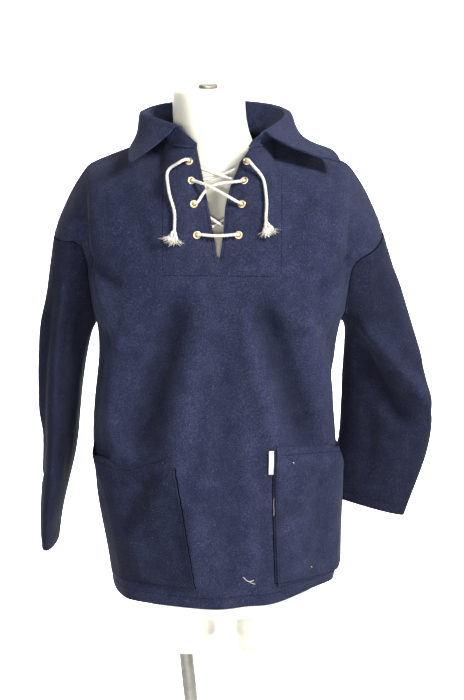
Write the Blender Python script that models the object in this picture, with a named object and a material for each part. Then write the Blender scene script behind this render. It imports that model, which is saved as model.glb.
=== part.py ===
"""A lace-up wool shirt on a limbless dress form with a pole stand, as separate closed solids.

Metres, +Z up. The front of the shirt faces -Y, and the origin is the centre of the base's underside.
"left" and "right" are as seen from the front: left is -X.
"""

import math

import bmesh
import bpy
import numpy as np
from mathutils import Matrix, Vector
from mathutils.bvhtree import BVHTree

LEFT, RIGHT = -1, 1
FRONT, BACK = -1, 1
SIDE_NAME = {LEFT: "left", RIGHT: "right"}

# Cloth
CLOTH = 0.0025  # fulled wool, one layer
COLLAR_CLOTH = 0.0036  # two layers sewn together
FACING_CLOTH = 0.0015
SEAM_GAP = 0.0003
FOLDED_SEAM = 0.6  # cosine between two cloths past which they count as folded
ARMHOLE_GAP = 0.0004  # the sleeve's own share, at its tight underarm
LAYER_GAP = 0.0003

# Heights of the shirt
UNDERARM_Z = 1.200
POCKET_BOTTOM_Z = 0.777
POCKET_TOP_Z = 1.015
SECTION_POWER = 2.5  # 2 is an ellipse, more is squarer

# Body below the arms. front and back are depths from the body's axis, turn is in degrees, seam_y is
# how far back the side seam stands, and panel_edge is the distance round the cloth from centre front
# to the pocket's inner edge.
LOWER_SECTIONS = (
    dict(z=0.745, half=0.200, front=0.163, back=0.140, x=0.016, turn=8.0,
         seam_y=0.000, panel_edge=0.068),
    dict(z=0.820, half=0.204, front=0.160, back=0.140, x=0.011, turn=7.2,
         seam_y=0.000, panel_edge=0.072),
    dict(z=0.920, half=0.214, front=0.157, back=0.140, x=0.004, turn=6.2,
         seam_y=0.000, panel_edge=0.079),
    dict(z=1.015, half=0.216, front=0.153, back=0.139, x=0.001, turn=5.0,
         seam_y=0.002, panel_edge=0.085),
    dict(z=1.090, half=0.207, front=0.150, back=0.137, x=-0.002, turn=3.8,
         seam_y=0.006, panel_edge=0.089),
    dict(z=1.150, half=0.203, front=0.149, back=0.135, x=0.001, turn=2.6,
         seam_y=0.011, panel_edge=0.092),
    dict(z=1.200, half=0.209, front=0.148, back=0.134, x=0.004, turn=1.5,
         seam_y=0.015, panel_edge=0.095),
)
# Where the other guide lines stand on the lower sections, as shares of the way to the side seam.
RIDGE_SHARE, INNER_SHARE, ARM_SHARE = 0.62, 0.76, 0.88

# Body above the underarm, one half, as six guide points per row: centre, panel, ridge, inner, arm
# and edge. rise runs from the underarm row to the shoulder seam, and x is the distance from the
# middle. The edge points of the front and of the back make the armhole.
UPPER_ROWS = {
    FRONT: (
        dict(rise=0.08, centre=(0.000, -0.148, 1.222), panel=(0.096, -0.143, 1.222),
             ridge=(0.192, -0.103, 1.222), inner=(0.204, -0.062, 1.222),
             arm=(0.208, -0.040, 1.221), edge=(0.213, -0.018, 1.219)),
        dict(rise=0.25, centre=(0.000, -0.147, 1.262), panel=(0.096, -0.142, 1.262),
             ridge=(0.194, -0.101, 1.262), inner=(0.206, -0.064, 1.265),
             arm=(0.211, -0.049, 1.267), edge=(0.217, -0.036, 1.268)),
        dict(rise=0.50, centre=(0.000, -0.140, 1.322), panel=(0.096, -0.138, 1.324),
             ridge=(0.201, -0.096, 1.325), inner=(0.210, -0.060, 1.332),
             arm=(0.216, -0.046, 1.338), edge=(0.228, -0.047, 1.340)),
        dict(rise=0.75, centre=(0.000, -0.121, 1.405), panel=(0.096, -0.118, 1.405),
             ridge=(0.203, -0.080, 1.400), inner=(0.217, -0.052, 1.396),
             arm=(0.239, -0.046, 1.378), edge=(0.262, -0.040, 1.346)),
        dict(rise=0.90, centre=(0.000, -0.103, 1.465), panel=(0.092, -0.070, 1.476),
             ridge=(0.200, -0.040, 1.457), inner=(0.223, -0.028, 1.440),
             arm=(0.252, -0.018, 1.400), edge=(0.279, -0.014, 1.352)),
        dict(rise=1.00, centre=(0.000, -0.088, 1.502), panel=(0.088, 0.008, 1.517),
             ridge=(0.202, 0.018, 1.480), inner=(0.230, 0.020, 1.459),
             arm=(0.258, 0.021, 1.414), edge=(0.281, 0.021, 1.362)),
    ),
    BACK: (
        dict(rise=0.08, centre=(0.000, 0.133, 1.222), panel=(0.096, 0.127, 1.222),
             ridge=(0.188, 0.094, 1.222), inner=(0.203, 0.064, 1.222),
             arm=(0.208, 0.053, 1.221), edge=(0.213, 0.042, 1.219)),
        dict(rise=0.25, centre=(0.000, 0.133, 1.262), panel=(0.096, 0.127, 1.262),
             ridge=(0.190, 0.094, 1.262), inner=(0.207, 0.072, 1.265),
             arm=(0.213, 0.062, 1.267), edge=(0.219, 0.052, 1.268)),
        dict(rise=0.50, centre=(0.000, 0.131, 1.330), panel=(0.096, 0.126, 1.328),
             ridge=(0.194, 0.095, 1.325), inner=(0.211, 0.074, 1.330),
             arm=(0.222, 0.068, 1.334), edge=(0.236, 0.070, 1.336)),
        dict(rise=0.75, centre=(0.000, 0.122, 1.415), panel=(0.096, 0.115, 1.408),
             ridge=(0.198, 0.088, 1.400), inner=(0.220, 0.078, 1.390),
             arm=(0.243, 0.074, 1.372), edge=(0.266, 0.068, 1.344)),
        dict(rise=0.90, centre=(0.000, 0.106, 1.488), panel=(0.093, 0.074, 1.484),
             ridge=(0.200, 0.062, 1.456), inner=(0.226, 0.058, 1.436),
             arm=(0.253, 0.052, 1.396), edge=(0.280, 0.046, 1.352)),
        dict(rise=1.00, centre=(0.000, 0.088, 1.525), panel=(0.088, 0.008, 1.517),
             ridge=(0.202, 0.018, 1.480), inner=(0.230, 0.020, 1.459),
             arm=(0.258, 0.021, 1.414), edge=(0.281, 0.021, 1.362)),
    ),
}
UPPER_X = 0.004  # the neck slit's distance from the frame's middle
# The right sleeve swings out, so its armhole seam drops further at the front.
ARMHOLE_DROP = {LEFT: 0.0, RIGHT: 0.034}
SLIT_BOTTOM_ROW = 2  # of the upper rows
DROP_SHARE = (0.0, 0.15, 0.45, 1.0, 0.45, 0.10, 0.0)  # by upper row, from the underarm

# Steps of the grid across one half panel, in guide numbers, and up the panel
COLUMN_STEPS = (0, 0.25, 0.5, 0.75, 1, 1.4, 1.7, 2, 2.35, 2.7, 3, 3.5, 4, 5)
PANEL_COLUMN = COLUMN_STEPS.index(1)
POCKET_LAST_COLUMN = COLUMN_STEPS.index(4)
LOWER_ROWS_Z = (0.745, 0.777, 0.815, 0.855, 0.895, 0.935, 0.975, 1.015, 1.055, 1.095, 1.130, 1.165, 1.200)
UPPER_RISES = (0.05, 0.13, 0.22, 0.31, 0.40, 0.50, 0.61, 0.73, 0.84, 0.93, 1.0)
UPPER_SPAN = 0.30  # cloth from underarm to shoulder, for the spacing of the rows

# Neck slit and neckline
NECKLINE_REACH = 0.6  # rise above which the rows take on the neckline's curve
NECKLINE_FLATNESS = 0.74  # 1 is an ellipse, less is flatter at the front and back
SLIT_HALF_WIDTH = {LEFT: 0.034, RIGHT: 0.042}
SLIT_SHAPE = 1.15
FACING_BOTTOM_RISE = 0.4

# Soft folds of the body. across is in guide numbers from centre front or back, out is how far the
# cloth moves outwards, and wide is the fold's half width in metres.
BODY_FOLDS = (
    dict(face=FRONT, side=LEFT, top=(0.62, 1.30), foot=(1.75, 0.99), out=-0.012, wide=0.020),
    dict(face=FRONT, side=LEFT, top=(1.10, 1.24), foot=(2.30, 0.96), out=0.008, wide=0.020),
    dict(face=FRONT, side=LEFT, top=(0.20, 1.20), foot=(0.45, 0.76), out=0.006, wide=0.022),
    dict(face=FRONT, side=RIGHT, top=(0.55, 1.30), foot=(1.75, 0.99), out=-0.010, wide=0.020),
    dict(face=FRONT, side=RIGHT, top=(1.15, 1.26), foot=(2.35, 0.98), out=0.008, wide=0.018),
    dict(face=FRONT, side=RIGHT, top=(0.15, 1.10), foot=(0.35, 0.75), out=-0.007, wide=0.024),
    dict(face=BACK, side=LEFT, top=(1.25, 1.36), foot=(1.05, 0.80), out=-0.011, wide=0.024),
    dict(face=BACK, side=LEFT, top=(0.45, 1.30), foot=(0.30, 0.76), out=0.009, wide=0.026),
    dict(face=BACK, side=LEFT, top=(2.10, 1.28), foot=(1.80, 0.78), out=0.007, wide=0.022),
    dict(face=BACK, side=RIGHT, top=(1.20, 1.38), foot=(1.30, 0.78), out=-0.010, wide=0.024),
    dict(face=BACK, side=RIGHT, top=(0.40, 1.26), foot=(0.60, 0.76), out=0.008, wide=0.026),
    dict(face=BACK, side=RIGHT, top=(2.00, 1.30), foot=(2.10, 0.80), out=0.007, wide=0.022),
)

# Sleeves below the armhole. across and deep are half widths of the flattened tube, turn swings its
# inner edge backwards and tilt lifts its inner edge, both in degrees.
SLEEVE_SECTIONS = {
    LEFT: (
        dict(z=1.150, x=0.266, y=0.020, across=0.043, deep=0.090, turn=0, tilt=12),
        dict(z=1.060, x=0.272, y=0.026, across=0.033, deep=0.091, turn=0, tilt=3),
        dict(z=0.985, x=0.273, y=0.022, across=0.031, deep=0.088, turn=0, tilt=0),
        dict(z=0.920, x=0.283, y=0.016, across=0.024, deep=0.083, turn=0, tilt=0),
        dict(z=0.862, x=0.293, y=0.010, across=0.019, deep=0.077, turn=0, tilt=0),
        dict(z=0.812, x=0.294, y=0.006, across=0.014, deep=0.072, turn=0, tilt=0),
    ),
    RIGHT: (
        dict(z=1.170, x=0.288, y=0.024, across=0.063, deep=0.054, turn=14, tilt=16),
        dict(z=1.090, x=0.297, y=0.038, across=0.080, deep=0.036, turn=14, tilt=8),
        dict(z=1.020, x=0.302, y=0.052, across=0.083, deep=0.030, turn=14, tilt=6),
        dict(z=0.960, x=0.297, y=0.070, across=0.079, deep=0.026, turn=14, tilt=9),
        dict(z=0.910, x=0.283, y=0.084, across=0.077, deep=0.022, turn=14, tilt=11),
        dict(z=0.850, x=0.268, y=0.097, across=0.074, deep=0.018, turn=14, tilt=13),
    ),
}
SLEEVE_BLEND = 0.36  # share of the sleeve over which the armhole's shape fades out
SLEEVE_TOP_RISE = 0.05  # how much higher the blended rings stand near the armhole
SLEEVE_RINGS = 15
SLEEVE_SPREAD = 1.1  # sets the rings closer together near the armhole
# The pressed fold that runs down the front of the right sleeve
SLEEVE_FOLD = dict(top=(0.232, 1.222), foot=(0.380, 1.030), out=0.012, above=0.045, below=0.014)

# Collar, from its left front end round the back of the neck to its right front end. turn_over is
# the top of the roll, tip the outer edge of the part that falls, and sag how far that part hangs in
# from the straight way between them.
COLLAR_STATIONS = (
    dict(name="left end", turn_over=(-0.062, -0.082, 1.537), tip=(-0.140, -0.084, 1.478), sag=0.003),
    dict(name="left front", turn_over=(-0.104, -0.046, 1.550), tip=(-0.143, -0.052, 1.491), sag=0.005),
    dict(name="left side", turn_over=(-0.124, 0.008, 1.559), tip=(-0.140, 0.012, 1.508), sag=0.004),
    dict(name="left back", turn_over=(-0.088, 0.076, 1.572), tip=(-0.118, 0.110, 1.508), sag=0.004),
    dict(name="back", turn_over=(0.000, 0.101, 1.577), tip=(0.000, 0.142, 1.499), sag=0.005),
    dict(name="right back", turn_over=(0.092, 0.076, 1.571), tip=(0.128, 0.112, 1.507), sag=0.006),
    dict(name="right side", turn_over=(0.124, 0.008, 1.557), tip=(0.172, 0.012, 1.503), sag=0.011),
    dict(name="right front", turn_over=(0.106, -0.046, 1.542), tip=(0.198, -0.032, 1.493), sag=0.012),
    dict(name="right end", turn_over=(0.080, -0.088, 1.527), tip=(0.205, -0.066, 1.477), sag=0.005),
)
COLLAR_ROLL = 0.0075  # half width of the roll
COLLAR_LIFT = 0.0006  # above the neckline seam
COLLAR_FOOT = 0.006  # stands straight up
COLLAR_FALL_SHARES = (0.38, 0.72, 1.0)
COLLAR_SAG_DOWN = 0.6  # how far the sag goes down, for each part that it goes in

# Pockets
POCKET_MOUTH = {
    LEFT: dict(out=0.018, sag=0.021, place=0.72),
    RIGHT: dict(out=0.010, sag=0.005, place=0.80),
}
MOUTH_FADE = 0.42  # share of the pocket's height over which the mouth stands open

# Eyelets. They are numbered from the neck down.
EYELET_HEIGHTS = (1.480, 1.450, 1.413, 1.364)
EYELET_REACH = (0.0468, 0.0425, 0.0385, 0.0335)  # from the slit's middle
EYELET_BORE = 0.0035
EYELET_RIM = 0.0066
EYELET_HOLE = 0.0046  # cut through the cloth
EYELET_SHEET = 0.0005
EYELET_CLEARANCE = 0.0009
EYELET_SIDES = 12

# Lace. The held stretch crosses between the eyelets in this order, first inside the shirt.
LACE_RADIUS = 0.0026
LACE_ROUNDNESS = 2
LACE_SPACING = {"held": 0.0135, "free": 0.0085}
LACE_STRAIGHT = 0.0024  # straight way through an eyelet, either side of its middle
LACE_END = 0.0012  # outside the middle of the first eyelets, where the free ends take over
LACE_RISE = 0.0075  # above the middle of the cloth, where it runs along the cloth
LACE_SHOULDER = 0.0062
LACE_ORDER = ((LEFT, 1), (RIGHT, 2), (LEFT, 3), (RIGHT, 4), (LEFT, 4), (RIGHT, 3), (LEFT, 2), (RIGHT, 1))
# Where each stretch passes the other, as a share of its way. height is above the straight line
# between its eyelets, away from the cloth, and drop is how far it hangs below that line.
LACE_BENDS = (
    dict(share=0.50, height=0.0078, drop=0.002),
    dict(share=0.68, height=0.0074, drop=-0.013),
    dict(share=0.50, height=0.0092, drop=0.002),
    dict(share=0.50, height=0.0088, drop=0.002),
    dict(share=0.50, height=0.0152, drop=0.002),
    dict(share=0.64, height=0.0174, drop=0.000),
    dict(share=0.50, height=0.0138, drop=0.002),
)
# The free ends hang down the front from the first eyelets, as points (x, z) on the cloth.
LACE_END_ROUTES = {
    LEFT: ((-0.0730, 1.4640), (-0.0761, 1.4460), (-0.0712, 1.4230),
           (-0.0655, 1.4010), (-0.0650, 1.3810), (-0.0653, 1.3700)),
    RIGHT: ((0.0745, 1.4540), (0.0800, 1.4320), (0.0815, 1.4100),
            (0.0812, 1.3930), (0.0815, 1.3840)),
}
LACE_LIFT = 0.0020  # between the hanging lace and the cloth
# The bend out of the eyelet, as (above, along)
LACE_LOOP = ((0.0060, 0.0000), (0.0105, 0.0016), (0.0138, 0.0054), (0.0148, 0.0105), (0.0122, 0.0185))
# Knots with their frayed ends. along is down the lace, lean turns them from straight down, degrees.
KNOT_SECTIONS = (
    dict(along=0.0000, wide=0.0020, deep=0.0020),
    dict(along=0.0018, wide=0.0058, deep=0.0044),
    dict(along=0.0050, wide=0.0088, deep=0.0060),
    dict(along=0.0090, wide=0.0094, deep=0.0064),
    dict(along=0.0128, wide=0.0082, deep=0.0058),
    dict(along=0.0158, wide=0.0046, deep=0.0040),
    dict(along=0.0190, wide=0.0044, deep=0.0034),
    dict(along=0.0240, wide=0.0066, deep=0.0036),
    dict(along=0.0290, wide=0.0086, deep=0.0030),
)
KNOT_LEAN = {LEFT: -24.0, RIGHT: 12.0}
KNOT_GAP = 0.0013  # below the end of the lace
KNOT_LOBES = 0.14
KNOT_SIDES = 14

# Label tab, on the inner edge of the right pocket
LABEL = dict(top_z=1.006, bottom_z=0.966, reach=0.009, thick=0.0011, steps=6)

# Dress form
FORM_SECTIONS = (
    dict(z=0.690, half=0.118, front=0.072, back=0.078, x=0.016, y=0.000),
    dict(z=0.705, half=0.142, front=0.088, back=0.094, x=0.016, y=0.000),
    dict(z=0.740, half=0.162, front=0.102, back=0.108, x=0.014, y=0.000),
    dict(z=0.820, half=0.172, front=0.110, back=0.112, x=0.010, y=0.002),
    dict(z=0.900, half=0.168, front=0.108, back=0.110, x=0.006, y=0.002),
    dict(z=1.000, half=0.150, front=0.098, back=0.098, x=0.003, y=0.000),
    dict(z=1.100, half=0.150, front=0.102, back=0.098, x=0.003, y=0.000),
    dict(z=1.200, half=0.162, front=0.112, back=0.104, x=0.004, y=0.002),
    dict(z=1.300, half=0.176, front=0.106, back=0.102, x=0.004, y=0.006),
    dict(z=1.370, half=0.188, front=0.090, back=0.094, x=0.004, y=0.012),
    dict(z=1.415, half=0.196, front=0.070, back=0.078, x=0.004, y=0.016),
    dict(z=1.444, half=0.197, front=0.054, back=0.056, x=0.004, y=0.016),
    dict(z=1.465, half=0.191, front=0.044, back=0.043, x=0.004, y=0.016),
    dict(z=1.480, half=0.177, front=0.036, back=0.035, x=0.004, y=0.016),
    dict(z=1.492, half=0.153, front=0.031, back=0.030, x=0.004, y=0.014),
    dict(z=1.5015, half=0.118, front=0.028, back=0.028, x=0.003, y=0.012),
    dict(z=1.506, half=0.080, front=0.028, back=0.028, x=0.003, y=0.011),
)
NECK_SECTIONS = (
    dict(z=1.420, half=0.060, front=0.058, back=0.060, x=0.000, y=0.014),
    dict(z=1.455, half=0.076, front=0.062, back=0.064, x=0.000, y=0.014),
    dict(z=1.480, half=0.076, front=0.062, back=0.062, x=-0.002, y=0.014),
    dict(z=1.500, half=0.070, front=0.060, back=0.059, x=-0.004, y=0.013),
    dict(z=1.520, half=0.065, front=0.060, back=0.059, x=-0.007, y=0.012),
    dict(z=1.545, half=0.062, front=0.060, back=0.060, x=-0.011, y=0.012),
    dict(z=1.575, half=0.062, front=0.060, back=0.060, x=-0.012, y=0.012),
)
NECK_TOP = dict(z=1.598, half=0.060, front=0.058, back=0.058, x=-0.013, y=0.012)
NECK_TOP_LEAN = 8.5  # degrees, forwards
NECK_EDGE = 0.0045  # rounding of the neck's top edge
NECK_FITTING = dict(radius=0.016, thick=0.005)
FORM_POWER = 2.2
FORM_SIDES = 26
STUMP_TOP_Z, STUMP_BOTTOM_Z = 0.760, 0.626
STUMPS = (
    dict(side=LEFT, top_x=-0.062, x=-0.050, half=0.054, deep=0.070),
    dict(side=RIGHT, top_x=0.092, x=0.082, half=0.054, deep=0.070),
)
STUMP_SIDES = 20

# Stand
BASE_RADIUS = 0.190
BASE_THICK = 0.010
BOSS_RADIUS = 0.026
BOSS_TOP_Z = 0.034
POLE_RADIUS = 0.0125
POLE_IN_BASE = 0.008  # depth of its seat in the boss
POLE_IN_FORM = 0.060
POLE_TOP = (-0.058, 0.000, STUMP_BOTTOM_Z)  # where it enters the picture-left stump
FIT_GAP = 0.0003
ROUND_SIDES = 32
BASE_SIDES = 64


def clear_scene():
    for obj in list(bpy.data.objects):
        bpy.data.objects.remove(obj)


def material(name, color, roughness, metallic=0.0):
    made = bpy.data.materials.new(name)
    made.use_nodes = True
    shader = made.node_tree.nodes["Principled BSDF"]
    shader.inputs["Base Color"].default_value = (*color, 1)
    shader.inputs["Roughness"].default_value = roughness
    shader.inputs["Metallic"].default_value = metallic
    made.diffuse_color = (*color, 1)
    return made


def add_object(name, mesh, finish, smooth=True):
    mesh.materials.append(finish)
    if smooth:
        mesh.shade_smooth()
        mesh.set_sharp_from_angle(angle=math.radians(50))
    obj = bpy.data.objects.new(name, mesh)
    bpy.context.scene.collection.objects.link(obj)
    return obj


def mesh_from(name, points, faces):
    """A mesh of these points and faces, in flat triangles, with its normals made to point out."""
    mesh = bpy.data.meshes.new(name)
    mesh.from_pydata([tuple(p) for p in points], [], [tuple(f) for f in faces])
    shaped = bmesh.new()
    shaped.from_mesh(mesh)
    bmesh.ops.triangulate(shaped, faces=[f for f in shaped.faces if len(f.verts) == 4])
    bmesh.ops.recalc_face_normals(shaped, faces=shaped.faces)
    if shaped.calc_volume(signed=True) < 0:
        bmesh.ops.reverse_faces(shaped, faces=shaped.faces)
    shaped.to_mesh(mesh)
    shaped.free()
    return mesh


def spline(knots, values, at):
    """Values of a smooth curve through the rows of values, which stand at the knots."""
    knots = np.asarray(knots, float)
    values = np.asarray(values, float)
    slopes = np.gradient(values, knots, axis=0)
    at = np.clip(np.asarray(at, float), knots[0], knots[-1])
    place = np.clip(np.searchsorted(knots, at, side="right") - 1, 0, len(knots) - 2)
    step = knots[place + 1] - knots[place]
    t = (at - knots[place]) / step
    shape = (-1,) + (1,) * (values.ndim - 1)
    t, step = t.reshape(shape), step.reshape(shape)
    start, end = values[place], values[place + 1]
    out, back = slopes[place] * step, slopes[place + 1] * step
    return (
        (2 * t**3 - 3 * t**2 + 1) * start
        + (t**3 - 2 * t**2 + t) * out
        + (3 * t**2 - 2 * t**3) * end
        + (t**3 - t**2) * back
    )


def smooth_step(t):
    t = np.clip(t, 0, 1)
    return t * t * (3 - 2 * t)


def turned(points, degrees):
    """Points turned about +Z."""
    c, s = math.cos(math.radians(degrees)), math.sin(math.radians(degrees))
    x, y = points[..., 0], points[..., 1]
    return np.stack([x * c - y * s, x * s + y * c, points[..., 2]], axis=-1)


def lower_guides(section, side, face):
    """The six guide points of one half of a section below the arms."""
    angle = np.linspace(math.pi / 2, 0, 181)
    depth = section["front"] if face == FRONT else section["back"]
    power = 2 / SECTION_POWER
    curve = np.stack(
        [
            side * section["half"] * np.cos(angle).clip(0) ** power,
            face * depth * np.sin(angle) ** power,
            np.full(len(angle), section["z"]),
        ],
        axis=-1,
    )
    length = np.concatenate([[0], np.cumsum(np.linalg.norm(np.diff(curve, axis=0), axis=1))])
    shares = (0, section["panel_edge"] / length[-1], RIDGE_SHARE, INNER_SHARE, ARM_SHARE, 1)
    guides = np.stack(
        [np.interp(np.array(shares) * length[-1], length, curve[:, i]) for i in range(3)], axis=-1
    )
    guides[:, 1] += section["seam_y"] * np.array(shares) ** 2
    return turned(guides, section["turn"]) + (section["x"], 0, 0)


def slit_half_width(z, side):
    """How far the slit's edge stands from its middle at this height."""
    bottom = UPPER_ROWS[FRONT][SLIT_BOTTOM_ROW]["centre"][2]
    top = UPPER_ROWS[FRONT][-1]["centre"][2]
    return SLIT_HALF_WIDTH[side] * max(0.0, (z - bottom) / (top - bottom)) ** SLIT_SHAPE


def upper_guides(row, drop, side):
    """The six guide points of one half of a row above the underarm."""
    guides = np.array([row[name] for name in ("centre", "panel", "ridge", "inner", "arm", "edge")])
    guides[:, 0] *= side
    guides[3:, 2] -= drop * np.array([0.5, 0.8, 1.0])
    guides[:, 0] += UPPER_X
    return guides


def neckline(side, face, shares):
    """Points along the neck edge, from the centre or the slit round to the neck's side."""
    row = UPPER_ROWS[face][-1]
    start, end = np.array(row["centre"]), np.array(row["panel"])
    turn = np.asarray(shares, float) * math.pi / 2
    begin_x = slit_half_width(start[2], side) if face == FRONT else 0.0
    x = begin_x + (end[0] - begin_x) * np.sin(turn)
    y = end[1] + (start[1] - end[1]) * np.cos(turn).clip(0) ** NECKLINE_FLATNESS
    z = start[2] + (end[2] - start[2]) * (1 - np.cos(turn))
    return np.stack([side * x + UPPER_X, y, z], axis=-1)


def body_half(side, face):
    """The outer points of half a body panel, as rows from hem to shoulder, columns from the centre."""
    knots, rows = [], []
    for section in LOWER_SECTIONS:
        knots.append(section["z"])
        rows.append(lower_guides(section, side, face))
    for index, row in enumerate(UPPER_ROWS[face]):
        knots.append(UNDERARM_Z + UPPER_SPAN * row["rise"])
        rows.append(upper_guides(row, ARMHOLE_DROP[side] * DROP_SHARE[index + 1], side))
    levels = list(LOWER_ROWS_Z) + [UNDERARM_Z + UPPER_SPAN * rise for rise in UPPER_RISES]
    guides = spline(knots, np.array(rows), levels)
    steps = np.array(COLUMN_STEPS)
    grid = np.array([spline(range(6), row, steps) for row in guides])
    grid += folds_of(grid, side, face)
    if face == FRONT:
        for row in grid:
            open_by = slit_half_width(row[0, 2], side)
            row[:, 0] += side * open_by * (1 - steps / 1.6).clip(0)
    inner = slice(0, PANEL_COLUMN + 1)
    change = neckline(side, face, steps[inner]) - grid[-1, inner]
    for index, rise in enumerate(UPPER_RISES, start=len(LOWER_ROWS_Z)):
        grid[index, inner] += change * max(0.0, (rise - NECKLINE_REACH) / (1 - NECKLINE_REACH)) ** 1.5
    return grid


def folds_of(grid, side, face):
    """How far the soft folds move each point of a half panel."""
    steps = np.array(COLUMN_STEPS)
    across = np.broadcast_to(steps, grid.shape[:2])
    height = grid[..., 2]
    widths = np.linalg.norm(np.diff(grid, axis=1), axis=2)
    reach = np.concatenate([np.zeros((len(grid), 1)), np.cumsum(widths, axis=1)], axis=1)
    outwards = grid * (1, 1, 0)
    outwards /= np.linalg.norm(outwards, axis=2, keepdims=True)
    moved = np.zeros(grid.shape)
    for fold in BODY_FOLDS:
        if (fold["face"], fold["side"]) != (face, side):
            continue
        (top_step, top_z), (foot_step, foot_z) = fold["top"], fold["foot"]
        along = (top_z - height) / (top_z - foot_z)
        line_step = top_step + (foot_step - top_step) * along.clip(-0.3, 1.3)
        line = np.array([np.interp(line_step[i], steps, reach[i]) for i in range(len(grid))])
        near = np.exp(-(((reach - line) / fold["wide"]) ** 2))
        fade = smooth_step(along / 0.45) * smooth_step((1.28 - along) / 0.35)
        moved += outwards * (fold["out"] * near * fade * (across < 4.5))[..., None]
    return moved


def sleeve_rings(side, armhole):
    """The outer points of a sleeve, as rings from the armhole to the cuff."""
    sections = SLEEVE_SECTIONS[side]
    names = ("x", "y", "z", "across", "deep", "turn", "tilt")
    table = np.array([[section[name] for name in names] for section in sections])
    count = len(armhole)
    half = len(armhole) // 2
    way = np.linalg.norm(np.diff(armhole[: half + 1], axis=0), axis=1)
    share = np.concatenate([[0], np.cumsum(way)]) / way.sum()
    front_angles = 0.35 * share * math.pi + 0.65 * np.linspace(0, 1, half + 1) * math.pi
    angles = np.concatenate([front_angles, 2 * math.pi - front_angles[1:half][::-1]])
    first = SLEEVE_BLEND * 0.72
    knots = np.linspace(first, 1, len(sections))
    rings = []
    for q in np.linspace(0, 1, SLEEVE_RINGS + 1) ** SLEEVE_SPREAD:
        x, y, z, across, deep, turn, tilt = spline(knots, table, [max(q, first)])[0]
        if q < first:
            z += (first - q) * SLEEVE_TOP_RISE
        ring = np.stack(
            [-np.cos(angles) * across, -np.sin(angles) * deep, np.zeros(count)], axis=-1
        )
        slope = math.tan(math.radians(tilt))
        ring[:, 2] = -ring[:, 0] * slope
        ring = turned(ring, -turn)
        ring += (x, y, z)
        ring[:, 0] *= side
        weight = max(0.0, 1 - q / SLEEVE_BLEND) ** 1.6
        rings.append(armhole * weight + ring * (1 - weight))
    rings = np.array(rings)
    for _ in range(2):
        rings[1:-1] = 0.25 * rings[:-2] + 0.5 * rings[1:-1] + 0.25 * rings[2:]
    if side == RIGHT:
        rings[1:] += sleeve_fold(rings[1:])
    return rings


def sleeve_fold(rings):
    """How far the pressed fold of the right sleeve moves each point towards the front."""
    fold = SLEEVE_FOLD
    top, foot = np.array(fold["top"]), np.array(fold["foot"])
    along = (foot - top) / np.linalg.norm(foot - top)
    above = np.array([-along[1], along[0]])
    place = rings[..., [0, 2]] - top
    distance = place @ above
    way = place @ along / np.linalg.norm(foot - top)
    lift = np.where(
        distance > 0,
        np.exp(-distance / fold["above"]),
        smooth_step(1 + distance / fold["below"]),
    )
    middle = rings.mean(axis=1, keepdims=True)[..., 1]
    facing = smooth_step((middle - rings[..., 1]) / 0.015 + 0.5)
    fade = smooth_step(way / 0.25 + 0.2) * smooth_step((1.15 - way) / 0.3)
    moved = np.zeros(rings.shape)
    moved[..., 1] = -fold["out"] * lift * facing * fade
    return moved


def normals_of(points, quads):
    """Normals of shared points, averaged from the faces round them."""
    points = np.asarray(points)
    corners = points[np.asarray(quads)]
    faces = np.cross(corners[:, 2] - corners[:, 0], corners[:, 3] - corners[:, 1])
    faces /= np.linalg.norm(faces, axis=1, keepdims=True)
    normals = np.zeros(points.shape)
    for corner in range(4):
        np.add.at(normals, np.asarray(quads)[:, corner], faces)
    return normals / np.linalg.norm(normals, axis=1, keepdims=True)


def grid_quads(ids, flip):
    """Faces of a grid of point numbers."""
    quads = []
    for i in range(ids.shape[0] - 1):
        for j in range(ids.shape[1] - 1):
            quad = (ids[i, j], ids[i, j + 1], ids[i + 1, j + 1], ids[i + 1, j])
            quads.append(quad[::-1] if flip else quad)
    return quads


def shared_normals(grids):
    """The normals of each grid's points, where grids that meet share them. grids holds (points, flip)."""
    found, points, quads, numbers = {}, [], [], {}
    for key, (grid, flip) in grids.items():
        ids = np.empty(grid.shape[:2], int)
        for place in np.ndindex(ids.shape):
            spot = tuple(np.round(grid[place], 6))
            if spot not in found:
                found[spot] = len(points)
                points.append(grid[place])
            ids[place] = found[spot]
        numbers[key] = ids
        quads += grid_quads(ids, flip)
    normals = normals_of(points, quads)
    return {key: normals[ids] for key, ids in numbers.items()}


def inset(grid, edges, amount=SEAM_GAP / 2):
    """The grid with the named edges pulled in, square to the seam, by half a seam gap."""
    rims = {"foot": (0, slice(None)), "top": (-1, slice(None)), "end": (slice(None), -1)}
    inner = {"foot": (1, slice(None)), "top": (-2, slice(None)), "end": (slice(None), -2)}
    pulled = grid.copy()
    for name in edges:
        edge = grid[rims[name]]
        seam = np.gradient(edge, axis=0)
        seam /= np.linalg.norm(seam, axis=1, keepdims=True)
        way = grid[inner[name]] - edge
        way -= seam * (way * seam).sum(axis=1, keepdims=True)
        pulled[rims[name]] += way / np.linalg.norm(way, axis=1, keepdims=True) * amount
    return pulled


def wall(name, patches, thickness, lift=0.0):
    """A closed wall from patches of (points, normals, flip), which meet where their points do.

    Its outer face is the patches moved out by lift, its inner face lies the thickness further in,
    and each open edge gets a rim.
    """
    found, outer, inner, quads = {}, [], [], []
    for grid, normals, flip in patches:
        ids = np.empty(grid.shape[:2], int)
        for place in np.ndindex(ids.shape):
            key = tuple(np.round(grid[place], 6))
            if key not in found:
                found[key] = len(outer)
                outer.append(grid[place] + normals[place] * lift)
                inner.append(grid[place] + normals[place] * (lift - thickness))
            ids[place] = found[key]
        quads += grid_quads(ids, flip)
    count = len(outer)
    faces = quads + [tuple(v + count for v in quad[::-1]) for quad in quads]
    edges = {(quad[k], quad[(k + 1) % 4]) for quad in quads for k in range(4)}
    faces += [(b, a, a + count, b + count) for a, b in sorted(edges) if (b, a) not in edges]
    return mesh_from(name, outer + inner, faces)


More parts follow.
